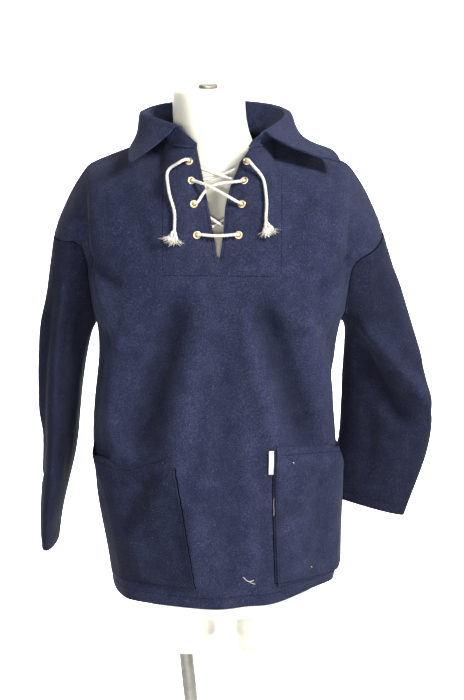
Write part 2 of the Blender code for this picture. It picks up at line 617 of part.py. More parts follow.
def tree_of(mesh):
    return BVHTree.FromPolygons([v.co for v in mesh.vertices], [tuple(p.vertices) for p in mesh.polygons])


def match_edges(halves):
    """Makes neighbouring half panels share the points of their seams and centre lines."""
    underarm = LOWER_ROWS_Z.index(UNDERARM_Z)
    slit_row = underarm + 1 + UPPER_RISES.index(UPPER_ROWS[FRONT][SLIT_BOTTOM_ROW]["rise"])
    for side in (LEFT, RIGHT):
        front, back = halves[side, FRONT], halves[side, BACK]
        middle = (front[: underarm + 1, -1] + back[: underarm + 1, -1]) / 2
        front[: underarm + 1, -1] = back[: underarm + 1, -1] = middle
        shoulder = (front[-1, PANEL_COLUMN:] + back[-1, PANEL_COLUMN:]) / 2
        front[-1, PANEL_COLUMN:] = back[-1, PANEL_COLUMN:] = shoulder
    for face, last in ((FRONT, slit_row + 1), (BACK, None)):
        middle = (halves[LEFT, face][:last, 0] + halves[RIGHT, face][:last, 0]) / 2
        halves[LEFT, face][:last, 0] = halves[RIGHT, face][:last, 0] = middle


class Cloth:
    """The outer surface of the body and sleeves. Front and back share their normals."""

    def __init__(self):
        self.halves = {
            (side, face): body_half(side, face) for side in (LEFT, RIGHT) for face in (FRONT, BACK)
        }
        match_edges(self.halves)
        underarm = LOWER_ROWS_Z.index(UNDERARM_Z)
        self.sleeves = {}
        for side in (LEFT, RIGHT):
            front = self.halves[side, FRONT][underarm:, -1]
            back = self.halves[side, BACK][underarm:, -1]
            rings = sleeve_rings(side, np.concatenate([front, back[::-1][1:-1]]))
            self.sleeves[side] = np.concatenate([rings, rings[:, :1]], axis=1)
        self.normals = shared_normals({key: (grid, key[0] * key[1] > 0) for key, grid in self.halves.items()})
        for side, grid in self.sleeves.items():
            self.normals.update(shared_normals({side: (grid, side == RIGHT)}))
            self.share_armhole_normals(side, underarm)

    def share_armhole_normals(self, side, underarm):
        """Gives sleeve and body the same normals at the armhole, apart from its folded underarm."""
        ring = self.normals[side][0]
        count = len(ring) // 2
        for index in range(count + 1):
            for face, place in ((FRONT, index), (BACK, -1 - index)):
                own = self.normals[side, face][underarm + index, -1].copy()
                if own @ ring[place] > FOLDED_SEAM:
                    both = own + ring[place]
                    both /= np.linalg.norm(both)
                    self.normals[side, face][underarm + index, -1] = both
                    if index < count or face == BACK:
                        ring[place] = both

    def panel(self, face, rows=slice(None), columns=slice(None), edges=("end", "top")):
        """The patches of a front or back panel, with its seam edges pulled in by half a gap."""
        patches = []
        for side in (LEFT, RIGHT):
            grid, normals = self.halves[side, face], self.normals[side, face]
            grid = inset(grid, edges)
            patches.append((grid[rows, columns], normals[rows, columns], side * face > 0))
        return patches

    def sleeve(self, side):
        grid, normals = self.sleeves[side], self.normals[side]
        return [(inset(grid, ("foot",), ARMHOLE_GAP), normals, side == RIGHT)]


def pocket_patch(cloth, side):
    """The front panel's points under a pocket, with the mouth sagging and standing open."""
    rows = slice(LOWER_ROWS_Z.index(POCKET_BOTTOM_Z), LOWER_ROWS_Z.index(POCKET_TOP_Z) + 1)
    columns = slice(PANEL_COLUMN, POCKET_LAST_COLUMN + 1)
    grid = cloth.halves[side, FRONT][rows, columns].copy()
    normals = cloth.normals[side, FRONT][rows, columns].copy()
    mouth = POCKET_MOUTH[side]
    count_up, count_across = grid.shape[:2]
    up = np.linspace(0, 1, count_up)[:, None]
    across = np.linspace(0, 1, count_across)[None, :]
    place = mouth["place"]
    hump = np.where(
        across < place,
        smooth_step(across / place),
        smooth_step((1 - across) / (1 - place)),
    )
    opening = smooth_step((up - 1 + MOUTH_FADE) / MOUTH_FADE) ** 1.5
    grid += normals * (mouth["out"] * hump * opening)[..., None]
    grid[..., 2] -= mouth["sag"] * hump * opening
    return grid, normals


def build_panels(cloth, wool):
    """The front, the back and the two sleeves."""
    front = add_object("front", wall("front", cloth.panel(FRONT), CLOTH), wool)
    back = add_object("back", wall("back", cloth.panel(BACK), CLOTH), wool)
    for side in (LEFT, RIGHT):
        name = f"sleeve_{SIDE_NAME[side]}"
        add_object(name, wall(name, cloth.sleeve(side), CLOTH), wool)
    return front, back


def build_facing(cloth, wool):
    """The facing that strengthens the slit, inside the front."""
    first = len(LOWER_ROWS_Z) + UPPER_RISES.index(FACING_BOTTOM_RISE)
    patches = cloth.panel(FRONT, slice(first, None), slice(0, PANEL_COLUMN + 1), ("top",))
    return add_object(
        "facing", wall("facing", patches, FACING_CLOTH, lift=-(CLOTH + LAYER_GAP)), wool
    )


def build_pockets(cloth, wool):
    for side in (LEFT, RIGHT):
        grid, normals = pocket_patch(cloth, side)
        name = f"pocket_{SIDE_NAME[side]}"
        patches = [(grid, normals, side * FRONT > 0)]
        add_object(name, wall(name, patches, CLOTH, lift=CLOTH + LAYER_GAP), wool)


def collar_profile(seam, turn_over, tip, sag):
    """One section of the collar: up the stand, over the roll and down the fall."""
    seam, turn_over, tip = (np.array(p, float) for p in (seam, turn_over, tip))
    outwards = (tip - seam) * (1, 1, 0)
    outwards /= np.linalg.norm(outwards)
    middle = turn_over - (0, 0, COLLAR_ROLL)
    foot = seam + (0, 0, COLLAR_LIFT + COLLAR_FOOT)
    points = [seam + (0, 0, COLLAR_LIFT), foot, (foot + middle - outwards * COLLAR_ROLL) / 2]
    for step in range(5):
        angle = math.pi * step / 4
        lift = np.array((0, 0, math.sin(angle) * COLLAR_ROLL))
        points.append(middle - outwards * math.cos(angle) * COLLAR_ROLL + lift)
    fall = middle + outwards * COLLAR_ROLL
    for share in COLLAR_FALL_SHARES:
        hang = sag * math.sin(math.pi * share) * (outwards + (0, 0, COLLAR_SAG_DOWN))
        points.append(fall * (1 - share) + tip * share - hang)
    return points


def neckline_at(share):
    """A point of the neck edge, from the slit's left edge at 0 round to its right edge at 1."""
    quarter = share * 4
    if quarter <= 1:
        return neckline(LEFT, FRONT, [quarter])[0]
    if quarter <= 2:
        return neckline(LEFT, BACK, [2 - quarter])[0]
    if quarter <= 3:
        return neckline(RIGHT, BACK, [quarter - 2])[0]
    return neckline(RIGHT, FRONT, [4 - quarter])[0]


def build_collar(wool):
    knots = np.linspace(0, 1, len(COLLAR_STATIONS))
    shares = np.linspace(0, 1, 4 * PANEL_COLUMN + 1)
    turn_overs = spline(knots, [station["turn_over"] for station in COLLAR_STATIONS], shares)
    tips = spline(knots, [station["tip"] for station in COLLAR_STATIONS], shares)
    sags = np.interp(shares, knots, [station["sag"] for station in COLLAR_STATIONS])
    grid = np.array(
        [collar_profile(neckline_at(s), t, p, g) for s, t, p, g in zip(shares, turn_overs, tips, sags)]
    )
    quads = grid_quads(np.arange(grid[..., 0].size).reshape(grid.shape[:2]), False)
    normals = normals_of(grid.reshape(-1, 3), quads).reshape(grid.shape)
    if normals[0, 7] @ (grid[0, -1] - grid[0, 0]) < 0:
        normals = -normals
    mesh = wall("collar", [(grid, normals, False)], COLLAR_CLOTH, COLLAR_CLOTH / 2)
    return add_object("collar", mesh, wool)


def superellipse(section, sides, power):
    angle = np.linspace(0, 2 * math.pi, sides, endpoint=False)
    c, s = np.cos(angle), np.sin(angle)
    depth = np.where(s < 0, section["front"], section["back"])
    x = np.sign(c) * np.abs(c) ** (2 / power) * section["half"] + section["x"]
    y = np.sign(s) * np.abs(s) ** (2 / power) * depth + section["y"]
    return np.stack([x, y, np.full(sides, section["z"])], axis=-1)


def ring_solid(name, rings):
    """A closed solid through rings of points, with flat ends."""
    sides = len(rings[0])
    points = [p for ring in rings for p in ring]
    faces = []
    for i in range(len(rings) - 1):
        for j in range(sides):
            k = (j + 1) % sides
            faces.append((i * sides + j, i * sides + k, (i + 1) * sides + k, (i + 1) * sides + j))
    faces.append(tuple(range(sides)))
    last = (len(rings) - 1) * sides
    faces.append(tuple(range(last, last + sides)))
    return mesh_from(name, points, faces)


def neck_rings():
    """The leaning flat top of the neck, with its rounded edge."""
    rings = []
    lean = math.tan(math.radians(NECK_TOP_LEAN))
    for shrink, drop in ((0.0, NECK_EDGE), (0.3 * NECK_EDGE, 0.3 * NECK_EDGE), (NECK_EDGE, 0.0)):
        ring = superellipse(NECK_TOP, FORM_SIDES, 2.0)
        middle = np.array((NECK_TOP["x"], NECK_TOP["y"], NECK_TOP["z"]))
        scale = 1 - shrink / NECK_TOP["half"]
        ring = middle + (ring - middle) * (scale, scale, 1)
        ring[:, 2] += (ring[:, 1] - middle[1]) * lean - drop
        rings.append(ring)
    return rings


def hidden(obj):
    obj.hide_render = True
    obj.display_type = "WIRE"
    return obj


def boolean(obj, other, operation):
    cut = obj.modifiers.new(operation.title(), "BOOLEAN")
    cut.operation = operation
    cut.object = other
    cut.solver = "EXACT"


def rod(name, start, end, radius, sides=ROUND_SIDES):
    """A straight cylinder between two points."""
    start, end = Vector(start), Vector(end)
    shaped = bmesh.new()
    bmesh.ops.create_cone(
        shaped, segments=sides, radius1=radius, radius2=radius, depth=(end - start).length, cap_ends=True
    )
    turn = (end - start).to_track_quat("Z", "Y").to_matrix().to_4x4()
    bmesh.ops.transform(shaped, matrix=Matrix.Translation((start + end) / 2) @ turn, verts=shaped.verts)
    mesh = bpy.data.meshes.new(name)
    shaped.to_mesh(mesh)
    shaped.free()
    return mesh


def pole_line():
    """Where the pole starts in the boss, and where it ends inside the stump."""
    seat = Vector((0, 0, BOSS_TOP_Z))
    entry = Vector(POLE_TOP)
    way = (entry - seat).normalized()
    return seat - way * POLE_IN_BASE, entry + way * POLE_IN_FORM, way


def build_form(satin, finish):
    """The torso, its neck and its two short stumps, in one closed solid."""
    rings = [superellipse(section, FORM_SIDES, FORM_POWER) for section in FORM_SECTIONS]
    form = add_object("form", ring_solid("form", rings), satin)
    rings = [superellipse(section, FORM_SIDES, 2.0) for section in NECK_SECTIONS]
    neck = add_object("neck_guide", ring_solid("neck", rings + neck_rings()), satin)
    boolean(form, hidden(neck), "UNION")
    for stump in STUMPS:
        sections = [
            dict(z=STUMP_TOP_Z, half=stump["half"], front=stump["deep"], back=stump["deep"],
                 x=stump["top_x"], y=0.0),
            dict(z=STUMP_BOTTOM_Z, half=stump["half"], front=stump["deep"], back=stump["deep"],
                 x=stump["x"], y=0.0),
        ]
        rings = [superellipse(section, STUMP_SIDES, 2.2) for section in sections]
        guide = add_object(f"stump_{SIDE_NAME[stump['side']]}_guide", ring_solid("stump", rings), satin)
        boolean(form, hidden(guide), "UNION")
    _, top, way = pole_line()
    bore = rod("bore", Vector(POLE_TOP) - way * POLE_RADIUS * 2, top + way * FIT_GAP, POLE_RADIUS + FIT_GAP)
    boolean(form, hidden(add_object("pole_bore_cutter", bore, satin)), "DIFFERENCE")
    lean = math.radians(NECK_TOP_LEAN)
    up = Vector((0, -math.sin(lean), math.cos(lean)))
    seat = Vector((NECK_TOP["x"], NECK_TOP["y"], NECK_TOP["z"])) + up * FIT_GAP
    plate = rod("neck_fitting", seat, seat + up * NECK_FITTING["thick"], NECK_FITTING["radius"], 32)
    add_object("neck_fitting", plate, finish)


def build_stand(steel):
    foot, top, way = pole_line()
    add_object("pole", rod("pole", foot, top, POLE_RADIUS), steel)
    base = add_object("base", rod("base", (0, 0, 0), (0, 0, BASE_THICK), BASE_RADIUS, BASE_SIDES), steel)
    boss = add_object(
        "boss_guide", rod("boss", (0, 0, BASE_THICK / 2), (0, 0, BOSS_TOP_Z), BOSS_RADIUS), steel
    )
    boolean(base, hidden(boss), "UNION")
    seat = rod("seat", foot - way * FIT_GAP, foot + way * 0.06, POLE_RADIUS + FIT_GAP)
    boolean(base, hidden(add_object("pole_seat_cutter", seat, steel)), "DIFFERENCE")


def on_front(tree, x, z, lift):
    """The point this far off the front's cloth, in front of (x, z), and the cloth's normal there."""
    spot, normal, _, _ = tree.ray_cast(Vector((x, -1, z)), Vector((0, 1, 0)))
    return spot + normal * lift, normal


def eyelet_places(front):
    """Where each eyelet stands: its middle in the cloth's thickness, and the way out of the cloth."""
    tree = tree_of(front.data)
    places = {}
    for side in (LEFT, RIGHT):
        for row, (height, reach) in enumerate(zip(EYELET_HEIGHTS, EYELET_REACH), start=1):
            x = side * reach + UPPER_X
            steps = [(0, 0)] + [(a * EYELET_RIM, b * EYELET_RIM) for a in (-1, 1) for b in (-1, 1)]
            near = [on_front(tree, x + a, height + b, 0) for a, b in steps]
            spot = sum((point for point, _ in near), Vector()) / len(near)
            normal = sum((normal for _, normal in near), Vector()).normalized()
            places[side, row] = (spot - normal * (CLOTH + LAYER_GAP + FACING_CLOTH) / 2, normal)
    return places


def turned_ring(name, profile, place, normal, sides):
    """A ring of this (radius, height) profile, turned about the normal at the place."""
    rings = [(radius, height) for radius, height in profile]
    points, faces = [], []
    for step in range(sides):
        angle = 2 * math.pi * step / sides
        for radius, height in rings:
            points.append((radius * math.cos(angle), radius * math.sin(angle), height))
    count = len(rings)
    for i in range(sides):
        k = (i + 1) % sides
        for j in range(count):
            m = (j + 1) % count
            faces.append((i * count + j, i * count + m, k * count + m, k * count + j))
    mesh = mesh_from(name, points, faces)
    turn = normal.to_track_quat("Z", "Y").to_matrix().to_4x4()
    mesh.transform(Matrix.Translation(place) @ turn)
    return mesh


def build_eyelets(front, facing, places, brass):
    """Eight rolled eyelets, and the holes that they sit in."""
    half = (CLOTH + LAYER_GAP + FACING_CLOTH) / 2 + EYELET_CLEARANCE
    profile = (
        (EYELET_BORE, half + EYELET_SHEET),
        (EYELET_RIM, half + EYELET_SHEET * 0.6),
        (EYELET_RIM, half),
        (EYELET_BORE + EYELET_SHEET, half),
        (EYELET_BORE + EYELET_SHEET, -half),
        (EYELET_RIM, -half),
        (EYELET_RIM, -half - EYELET_SHEET * 0.6),
        (EYELET_BORE, -half - EYELET_SHEET),
    )
    cutters = bmesh.new()
    for (side, row), (place, normal) in places.items():
        name = f"eyelet_{SIDE_NAME[side]}_{row}"
        add_object(name, turned_ring(name, profile, place, normal, EYELET_SIDES), brass)
        hole = rod("hole", place - normal * 0.01, place + normal * 0.01, EYELET_HOLE, EYELET_SIDES)
        cutters.from_mesh(hole)
    mesh = bpy.data.meshes.new("eyelet_holes")
    cutters.to_mesh(mesh)
    cutters.free()
    cutter = hidden(add_object("eyelet_hole_cutter", mesh, brass))
    for cloth in (front, facing):
        boolean(cloth, cutter, "DIFFERENCE")


def smooth_route(points, spacing):
    """Points of a smooth curve through the route's points, and its length. No stretch is over the spacing."""
    points = np.array([tuple(p) for p in points])
    steps = np.linalg.norm(np.diff(points, axis=0), axis=1)
    knots = np.concatenate([[0], np.cumsum(np.sqrt(steps))])
    at = [0.0]
    for start, end, step in zip(knots, knots[1:], steps):
        at += list(np.linspace(start, end, math.ceil(step / spacing) + 1)[1:])
    line = spline(knots, points, at)
    return line, np.linalg.norm(np.diff(line, axis=0), axis=1).sum()


def cord(name, points, radius, finish):
    """A round cord along these points, with closed ends."""
    curve = bpy.data.curves.new(name, "CURVE")
    curve.dimensions = "3D"
    curve.bevel_depth = radius
    curve.bevel_resolution = LACE_ROUNDNESS
    curve.use_fill_caps = True
    line = curve.splines.new("POLY")
    line.points.add(len(points) - 1)
    for spot, point in zip(line.points, points):
        spot.co = (*point, 1)
    curve.materials.append(finish)
    obj = bpy.data.objects.new(name, curve)
    bpy.context.scene.collection.objects.link(obj)
    return obj


def along_cloth(way, normal):
    """The direction of this way, laid flat on the cloth."""
    return (way - normal * way.dot(normal)).normalized()


def eyelet_turn(place, outward, over):
    """The lace's points from inside an eyelet to where it runs along the cloth."""
    return [
        place + outward * LACE_STRAIGHT,
        place + outward * LACE_RISE * 0.82 + over * LACE_SHOULDER * 0.28,
        place + outward * LACE_RISE + over * LACE_SHOULDER,
    ]


def lacing_route(places):
    """The held lace: through all eight eyelets, from the first on the left to the first on the right."""
    route = []
    last = len(LACE_ORDER) - 1
    for step, key in enumerate(LACE_ORDER):
        place, normal = places[key]
        outward = normal * (1 if step % 2 else -1)  # the way the lace leaves the cloth
        if step == 0:
            route.append(place + normal * LACE_END)
        else:
            over = along_cloth(places[LACE_ORDER[step - 1]][0] - place, normal)
            route += eyelet_turn(place, -outward, over)[::-1]
        if step == last:
            route.append(place + normal * LACE_END)
        else:
            after, next_normal = places[LACE_ORDER[step + 1]]
            route += eyelet_turn(place, outward, along_cloth(after - place, normal))
            bend = LACE_BENDS[step]
            away = (normal + next_normal).normalized() * (1 if step % 2 else -1)
            middle = place.lerp(after, bend["share"]) + away * bend["height"]
            route.append(middle - Vector((0, 0, bend["drop"])))
    return route


def free_end_route(tree, places, side):
    """A free end of the lace, from its eyelet to its knot."""
    place, normal = places[side, 1]
    flat = LACE_RADIUS + LACE_LIFT
    hanging = [on_front(tree, x, z, flat)[0] for x, z in LACE_END_ROUTES[side]]
    over = along_cloth(hanging[0] - place, normal)
    route = [place + normal * (LACE_END + FIT_GAP)]
    route += [place + normal * above + over * along for above, along in LACE_LOOP]
    return route + hanging


def build_knot(tree, side, start, finish):
    """The knot and the frayed end below it, lying on the cloth."""
    name = f"knot_{SIDE_NAME[side]}"
    lean = math.radians(KNOT_LEAN[side])
    _, normal = on_front(tree, start[0], start[2] - 0.012, 0)
    down = along_cloth(Vector((math.sin(lean), 0, -math.cos(lean))), normal)
    across = down.cross(normal)
    rings = []
    angle = np.linspace(0, 2 * math.pi, KNOT_SIDES, endpoint=False)
    for index, section in enumerate(KNOT_SECTIONS):
        lobes = 1 + KNOT_LOBES * np.sin(3 * angle + 1.3 * index) * (0 < index < 5)
        deep = section["deep"]
        middle = Vector(start) + down * (section["along"] + KNOT_GAP)
        middle += normal * (deep * (1 + KNOT_LOBES) - LACE_RADIUS)
        wide = section["wide"]
        rings.append(
            [
                middle + (across * wide * math.cos(a) + normal * deep * math.sin(a)) * float(lobe)
                for a, lobe in zip(angle, lobes)
            ]
        )
    add_object(name, ring_solid(name, rings), finish)


def build_lace(front, places, cotton):
    points, length = smooth_route(lacing_route(places), LACE_SPACING["held"])
    cord("lacing", points, LACE_RADIUS, cotton)
    print(f"the held lacing is {length:.3f} m")
    tree = tree_of(front.data)
    for side in (LEFT, RIGHT):
        route = free_end_route(tree, places, side)
        points, length = smooth_route(route, LACE_SPACING["free"])
        cord(f"lace_end_{SIDE_NAME[side]}", points, LACE_RADIUS, cotton)
        build_knot(tree, side, points[-1], cotton)
        print(f"the {SIDE_NAME[side]} free end is {length:.3f} m")


def build_label(front, pocket, tape):
    """A bare woven tab that stands out of the right pocket's inner edge."""
    body = tree_of(front.data)
    grid, normals = [], []
    for z in np.linspace(LABEL["bottom_z"], LABEL["top_z"], LABEL["steps"]):
        outer = [v.co for v in pocket.data.vertices if v.co.y < 0]
        edge = min(outer, key=lambda co: abs(co.z - z) + co.x * 0.2)
        row, row_normals = [], []
        for share in (1.0, 0.5, 0.0):
            x = edge.x - SEAM_GAP - LABEL["reach"] * share
            spot, normal = on_front(body, x, z, LABEL["thick"] + LAYER_GAP)
            row.append(tuple(spot))
            row_normals.append(tuple(normal))
        grid.append(row)
        normals.append(row_normals)
    mesh = wall("label", [(np.array(grid), np.array(normals), False)], LABEL["thick"])
    add_object("label", mesh, tape, smooth=False)


def main():
    clear_scene()
    wool = material("navy_wool", (0.020, 0.026, 0.060), 0.95)
    satin = material("white_satin", (0.86, 0.85, 0.83), 0.35)
    brass = material("aged_brass", (0.55, 0.42, 0.22), 0.35, 1.0)
    cotton = material("cream_cotton", (0.82, 0.78, 0.68), 0.85)
    steel = material("brushed_steel", (0.62, 0.62, 0.60), 0.35, 1.0)
    fitting = material("dark_bronze", (0.22, 0.14, 0.09), 0.45, 1.0)
    tape = material("white_tape", (0.85, 0.85, 0.83), 0.8)

    cloth = Cloth()
    front, _ = build_panels(cloth, wool)
    facing = build_facing(cloth, wool)
    build_pockets(cloth, wool)
    build_collar(wool)
    places = eyelet_places(front)
    build_eyelets(front, facing, places, brass)
    build_lace(front, places, cotton)
    build_label(front, bpy.data.objects["pocket_right"], tape)
    build_form(satin, fitting)
    build_stand(steel)


main()
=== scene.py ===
# %% [markdown]
# A lace-up wool shirt on a dress form. The solids already give every cut piece its place and size.
# This lesson dresses them: heavy navy wool with its folds, stitches and nap, a twisted cotton lace
# with frayed knots, brass eyelets, and the white form on its steel stand.

# %% Load the frame
import math
import random

import bmesh
import bpy
import numpy as np
from mathutils import Matrix, Vector
from mathutils.bvhtree import BVHTree


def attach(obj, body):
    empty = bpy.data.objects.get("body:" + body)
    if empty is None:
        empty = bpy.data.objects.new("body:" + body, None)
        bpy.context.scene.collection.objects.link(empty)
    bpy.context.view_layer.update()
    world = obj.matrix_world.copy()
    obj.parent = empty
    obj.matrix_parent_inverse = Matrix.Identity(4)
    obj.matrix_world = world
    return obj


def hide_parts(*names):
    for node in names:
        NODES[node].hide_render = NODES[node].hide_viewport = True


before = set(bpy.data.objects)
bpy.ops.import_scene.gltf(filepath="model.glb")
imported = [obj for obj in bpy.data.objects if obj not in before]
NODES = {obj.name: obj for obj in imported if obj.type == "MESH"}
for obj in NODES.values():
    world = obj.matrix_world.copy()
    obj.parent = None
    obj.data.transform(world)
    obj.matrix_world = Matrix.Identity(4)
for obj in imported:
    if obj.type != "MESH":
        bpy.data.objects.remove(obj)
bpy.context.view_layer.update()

scene = bpy.context.scene
LEFT, RIGHT = -1, 1
MM = 0.001
SIDE_NAME = {LEFT: "left", RIGHT: "right"}

# %% [markdown]
# The camera stands a little to the right of the form's middle, about as high as its neck, and looks
# slightly down.

# %% Camera
camera_data = bpy.data.cameras.new("camera")
camera_data.sensor_fit = "VERTICAL"
camera_data.sensor_height = 36
camera_data.lens = 72.6
camera = bpy.data.objects.new("camera", camera_data)
camera.location = (0.027, -2.40, 1.58)
camera.rotation_euler = (math.radians(79.9), 0, 0)
scene.collection.objects.link(camera)
scene.camera = camera

# %% [markdown]
# Materials are built from nodes. Small helpers start each one and add noise, sums and bumps, and the
# steps below add only what that finish needs. Constant values sit on the shader's own sockets.


# %% Material helpers
def new_material(name, color, roughness, metallic=0.0, **more):
    """A material, its tree and its shader. more sets further inputs of the shader by name."""
    material = bpy.data.materials.new(name)
    material.use_nodes = True
    shader = material.node_tree.nodes["Principled BSDF"]
    for key, value in dict(Base_Color=(*color, 1), Roughness=roughness, Metallic=metallic, **more).items():
        shader.inputs[key.replace("_", " ")].default_value = value
    return material, material.node_tree, shader


def add_node(tree, kind, links=(), **settings):
    """Adds a node, links (socket, source) pairs into it, and sets its properties and values."""
    node = tree.nodes.new(kind)
    for key, value in settings.items():
        if hasattr(node, key):
            setattr(node, key, value)
        else:
            node.inputs[key.title()].default_value = value
    for socket, source in links:
        tree.links.new(source, node.inputs[socket])
    return node


def object_place(tree):
    return add_node(tree, "ShaderNodeTexCoord").outputs["Object"]


def noise(tree, place, scale, detail, roughness=0.5):
    return add_node(tree, "ShaderNodeTexNoise", [("Vector", place)], scale=scale, detail=detail,
                    roughness=roughness).outputs["Fac"]


def combine(tree, operation, *values):
    """The result of a math node. Each value is a number or the output that feeds it."""
    node = add_node(tree, "ShaderNodeMath", operation=operation)
    for socket, value in zip(node.inputs, values):
        if isinstance(value, float):
            socket.default_value = value
        else:
            tree.links.new(value, socket)
    return node.outputs[0]


def ramp(tree, source, stops):
    """A colour ramp over the source. stops are (position, colour) pairs."""
    node = add_node(tree, "ShaderNodeValToRGB", [("Fac", source)])
    elements = node.color_ramp.elements
    elements[0].position, elements[1].position = stops[0][0], stops[-1][0]
    for position, _ in stops[1:-1]:
        elements.new(position)
    for element, (_, color) in zip(elements, stops):
        element.color = (*color, 1)
    return node.outputs[0]


def roughen(tree, shader, height, strength, distance):
    bump = add_node(tree, "ShaderNodeBump", [("Height", height)], strength=strength, distance=distance)
    tree.links.new(bump.outputs[0], shader.inputs["Normal"])


def grey(value):
    return (value, value, value)


# %% [markdown]
# Navy wool. The cloth is woven, then fulled until its threads felt together. What is left to see is
# a faint twill under a short nap, slightly uneven dye, and many pale stray fibres. Sheen gives the
# soft light that grazing wool shows. A value stored with the cloth, how far each point was folded in
# or out, paints shade into the troughs and light onto the ridges.

# %% Navy wool
NAVY = (0.0060, 0.0070, 0.0152)
NAVY_LIGHT = (0.0112, 0.0130, 0.0265)
FLECK = (0.085, 0.090, 0.125)


def make_wool(name, painted_light_scale=1.0):
    material, tree, shader = new_material(
        name, NAVY, 0.92, Sheen_Weight=0.022, Sheen_Roughness=0.42, Sheen_Tint=(0.50, 0.56, 0.78, 1),
        Specular_IOR_Level=0.03)
    place = object_place(tree)
    mottle = noise(tree, place, 430.0, 3.0, 0.7)
    blend = combine(tree, "MULTIPLY_ADD", noise(tree, place, 38.0, 4.0, 0.62), 0.35, mottle)
    # painted_light_scale multiplies the whole dye: below 1 it paints shade into a piece, above 1 it paints
    # light onto it.
    dye = ramp(tree, blend, (
        (0.54, [v * 0.74 * painted_light_scale for v in NAVY]),
        (0.68, [v * painted_light_scale for v in NAVY]),
        (0.82, [v * painted_light_scale for v in NAVY_LIGHT]),
    ))
    stretched = add_node(tree, "ShaderNodeMapping", [("Vector", place)])
    stretched.inputs["Scale"].default_value = (1.0, 1.0, 0.55)
    stray = ramp(tree, noise(tree, stretched.outputs[0], 1150.0, 1.5), ((0.69, grey(0)), (0.75, grey(1))))
    rare = add_node(tree, "ShaderNodeTexVoronoi", [("Vector", place)], scale=120.0, randomness=1.0)
    lint = ramp(tree, rare.outputs["Distance"], ((0.04, grey(1)), (0.085, grey(0))))
    share = combine(tree, "MULTIPLY", combine(tree, "MAXIMUM", stray, lint), 0.45)
    mix = add_node(tree, "ShaderNodeMix", [("Factor", share)], data_type="RGBA")
    tree.links.new(dye, mix.inputs["A"])
    mix.inputs["B"].default_value = (*FLECK, 1)
    # Painted shade in the fold troughs and painted light on the ridges, from the stored fold depth.
    fold = add_node(tree, "ShaderNodeAttribute", attribute_name="painted_fold_shade").outputs["Fac"]
    shaded = add_node(tree, "ShaderNodeVectorMath", [(0, mix.outputs["Result"])], operation="SCALE")
    tree.links.new(combine(tree, "MULTIPLY_ADD", fold, 0.42, 1.0), shaded.inputs["Scale"])
    tree.links.new(shaded.outputs[0], shader.inputs["Base Color"])
    twill = add_node(tree, "ShaderNodeTexWave", [("Vector", place)], scale=520.0, distortion=1.2,
                     detail=1.0, bands_direction="DIAGONAL").outputs["Fac"]
    nap = noise(tree, place, 900.0, 4.0, 0.75)
    roughen(tree, shader, combine(tree, "MULTIPLY_ADD", twill, 0.16, nap), 0.55, 0.0011)
    return material


wool = make_wool("navy_wool")
# The facing: the same wool, darker. This is painted shade.
wool_facing_painted_shade = make_wool("navy_wool_facing_painted_shade", painted_light_scale=0.85)
# The sleeves: the same wool, darker. This is painted shade.
wool_sleeve_painted_shade = make_wool("navy_wool_sleeve_painted_shade", painted_light_scale=0.62)
# The left pocket: the same wool, darker. This is painted shade.
wool_left_pocket_painted_shade = make_wool("navy_wool_left_pocket_painted_shade", painted_light_scale=0.70)
# The collar: the same wool, lighter. This is painted light.
wool_collar_painted_light = make_wool("navy_wool_collar_painted_light", painted_light_scale=1.20)

# %% [markdown]
# Sewing thread is a darker navy than the wool. It lies a little sunk, so a seam reads as a thin
# dark line from a distance. The same near-black also paints the shadow beside each pocket's edge.

# %% Thread
thread_and_shadow, _, _ = new_material("navy_thread_and_painted_shadow", (0.0007, 0.0008, 0.0018), 0.8, Specular_IOR_Level=0.0)

# %% [markdown]
# Cream cotton cord, tape, brass, steel, and the form's satin white each get the small unevenness
# that tells what they are made of.

# %% Other finishes
def make_cotton(name, color, scale):
    material, tree, shader = new_material(name, color, 0.85, Sheen_Weight=0.05, Sheen_Roughness=0.5,
                                          Specular_IOR_Level=0.15)
    place = object_place(tree)
    dirt = noise(tree, place, scale, 4.0, 0.6)
    tone = ramp(tree, dirt, ((0.30, [v * 0.78 for v in color]), (0.62, color)))
    tree.links.new(tone, shader.inputs["Base Color"])
    roughen(tree, shader, noise(tree, place, 2600.0, 2.0), 0.5, 0.0003)
    return material


def make_metal(name, color, roughness, patina, scale):
    material, tree, shader = new_material(name, color, roughness, 1.0)
    cloud = noise(tree, object_place(tree), scale, 5.0, 0.7)
    dull = grey(min(1, roughness + 0.22))
    tree.links.new(ramp(tree, cloud, ((0.38, patina), (0.60, color))), shader.inputs["Base Color"])
    tree.links.new(ramp(tree, cloud, ((0.35, dull), (0.65, grey(roughness)))), shader.inputs["Roughness"])
    roughen(tree, shader, cloud, 0.15, 0.0003)
    return material


cotton = make_cotton("cream_cotton", (0.235, 0.218, 0.185), 160.0)
fray = make_cotton("cream_fray", (0.25, 0.232, 0.20), 320.0)
tape = make_cotton("white_tape", (0.24, 0.235, 0.228), 220.0)
brass = make_metal("aged_brass", (0.40, 0.30, 0.15), 0.34, (0.20, 0.14, 0.07), 420.0)
steel = make_metal("brushed_steel", (0.150, 0.146, 0.132), 0.36, (0.125, 0.121, 0.108), 30.0)
bronze = make_metal("dark_bronze", (0.190, 0.170, 0.125), 0.42, (0.110, 0.098, 0.072), 90.0)

satin, tree, shader = new_material("white_satin", (0.325, 0.313, 0.262), 0.45, Coat_Weight=0.15,
                                   Coat_Roughness=0.35)
roughen(tree, shader, noise(tree, object_place(tree), 520.0, 3.0), 0.08, 0.0004)
print("materials:", len(bpy.data.materials))

# %% [markdown]
# The lace is one cotton cord, 5.2 mm thick. Its middle is held by the eyelets and its two ends hang
# free in front. The route is the solids' own: straight through each eyelet, over a small shoulder,
# and across the slit, with the stretches lying over each other where they cross.

# %% Where the eyelets stand
LACE_RADIUS = 0.0026


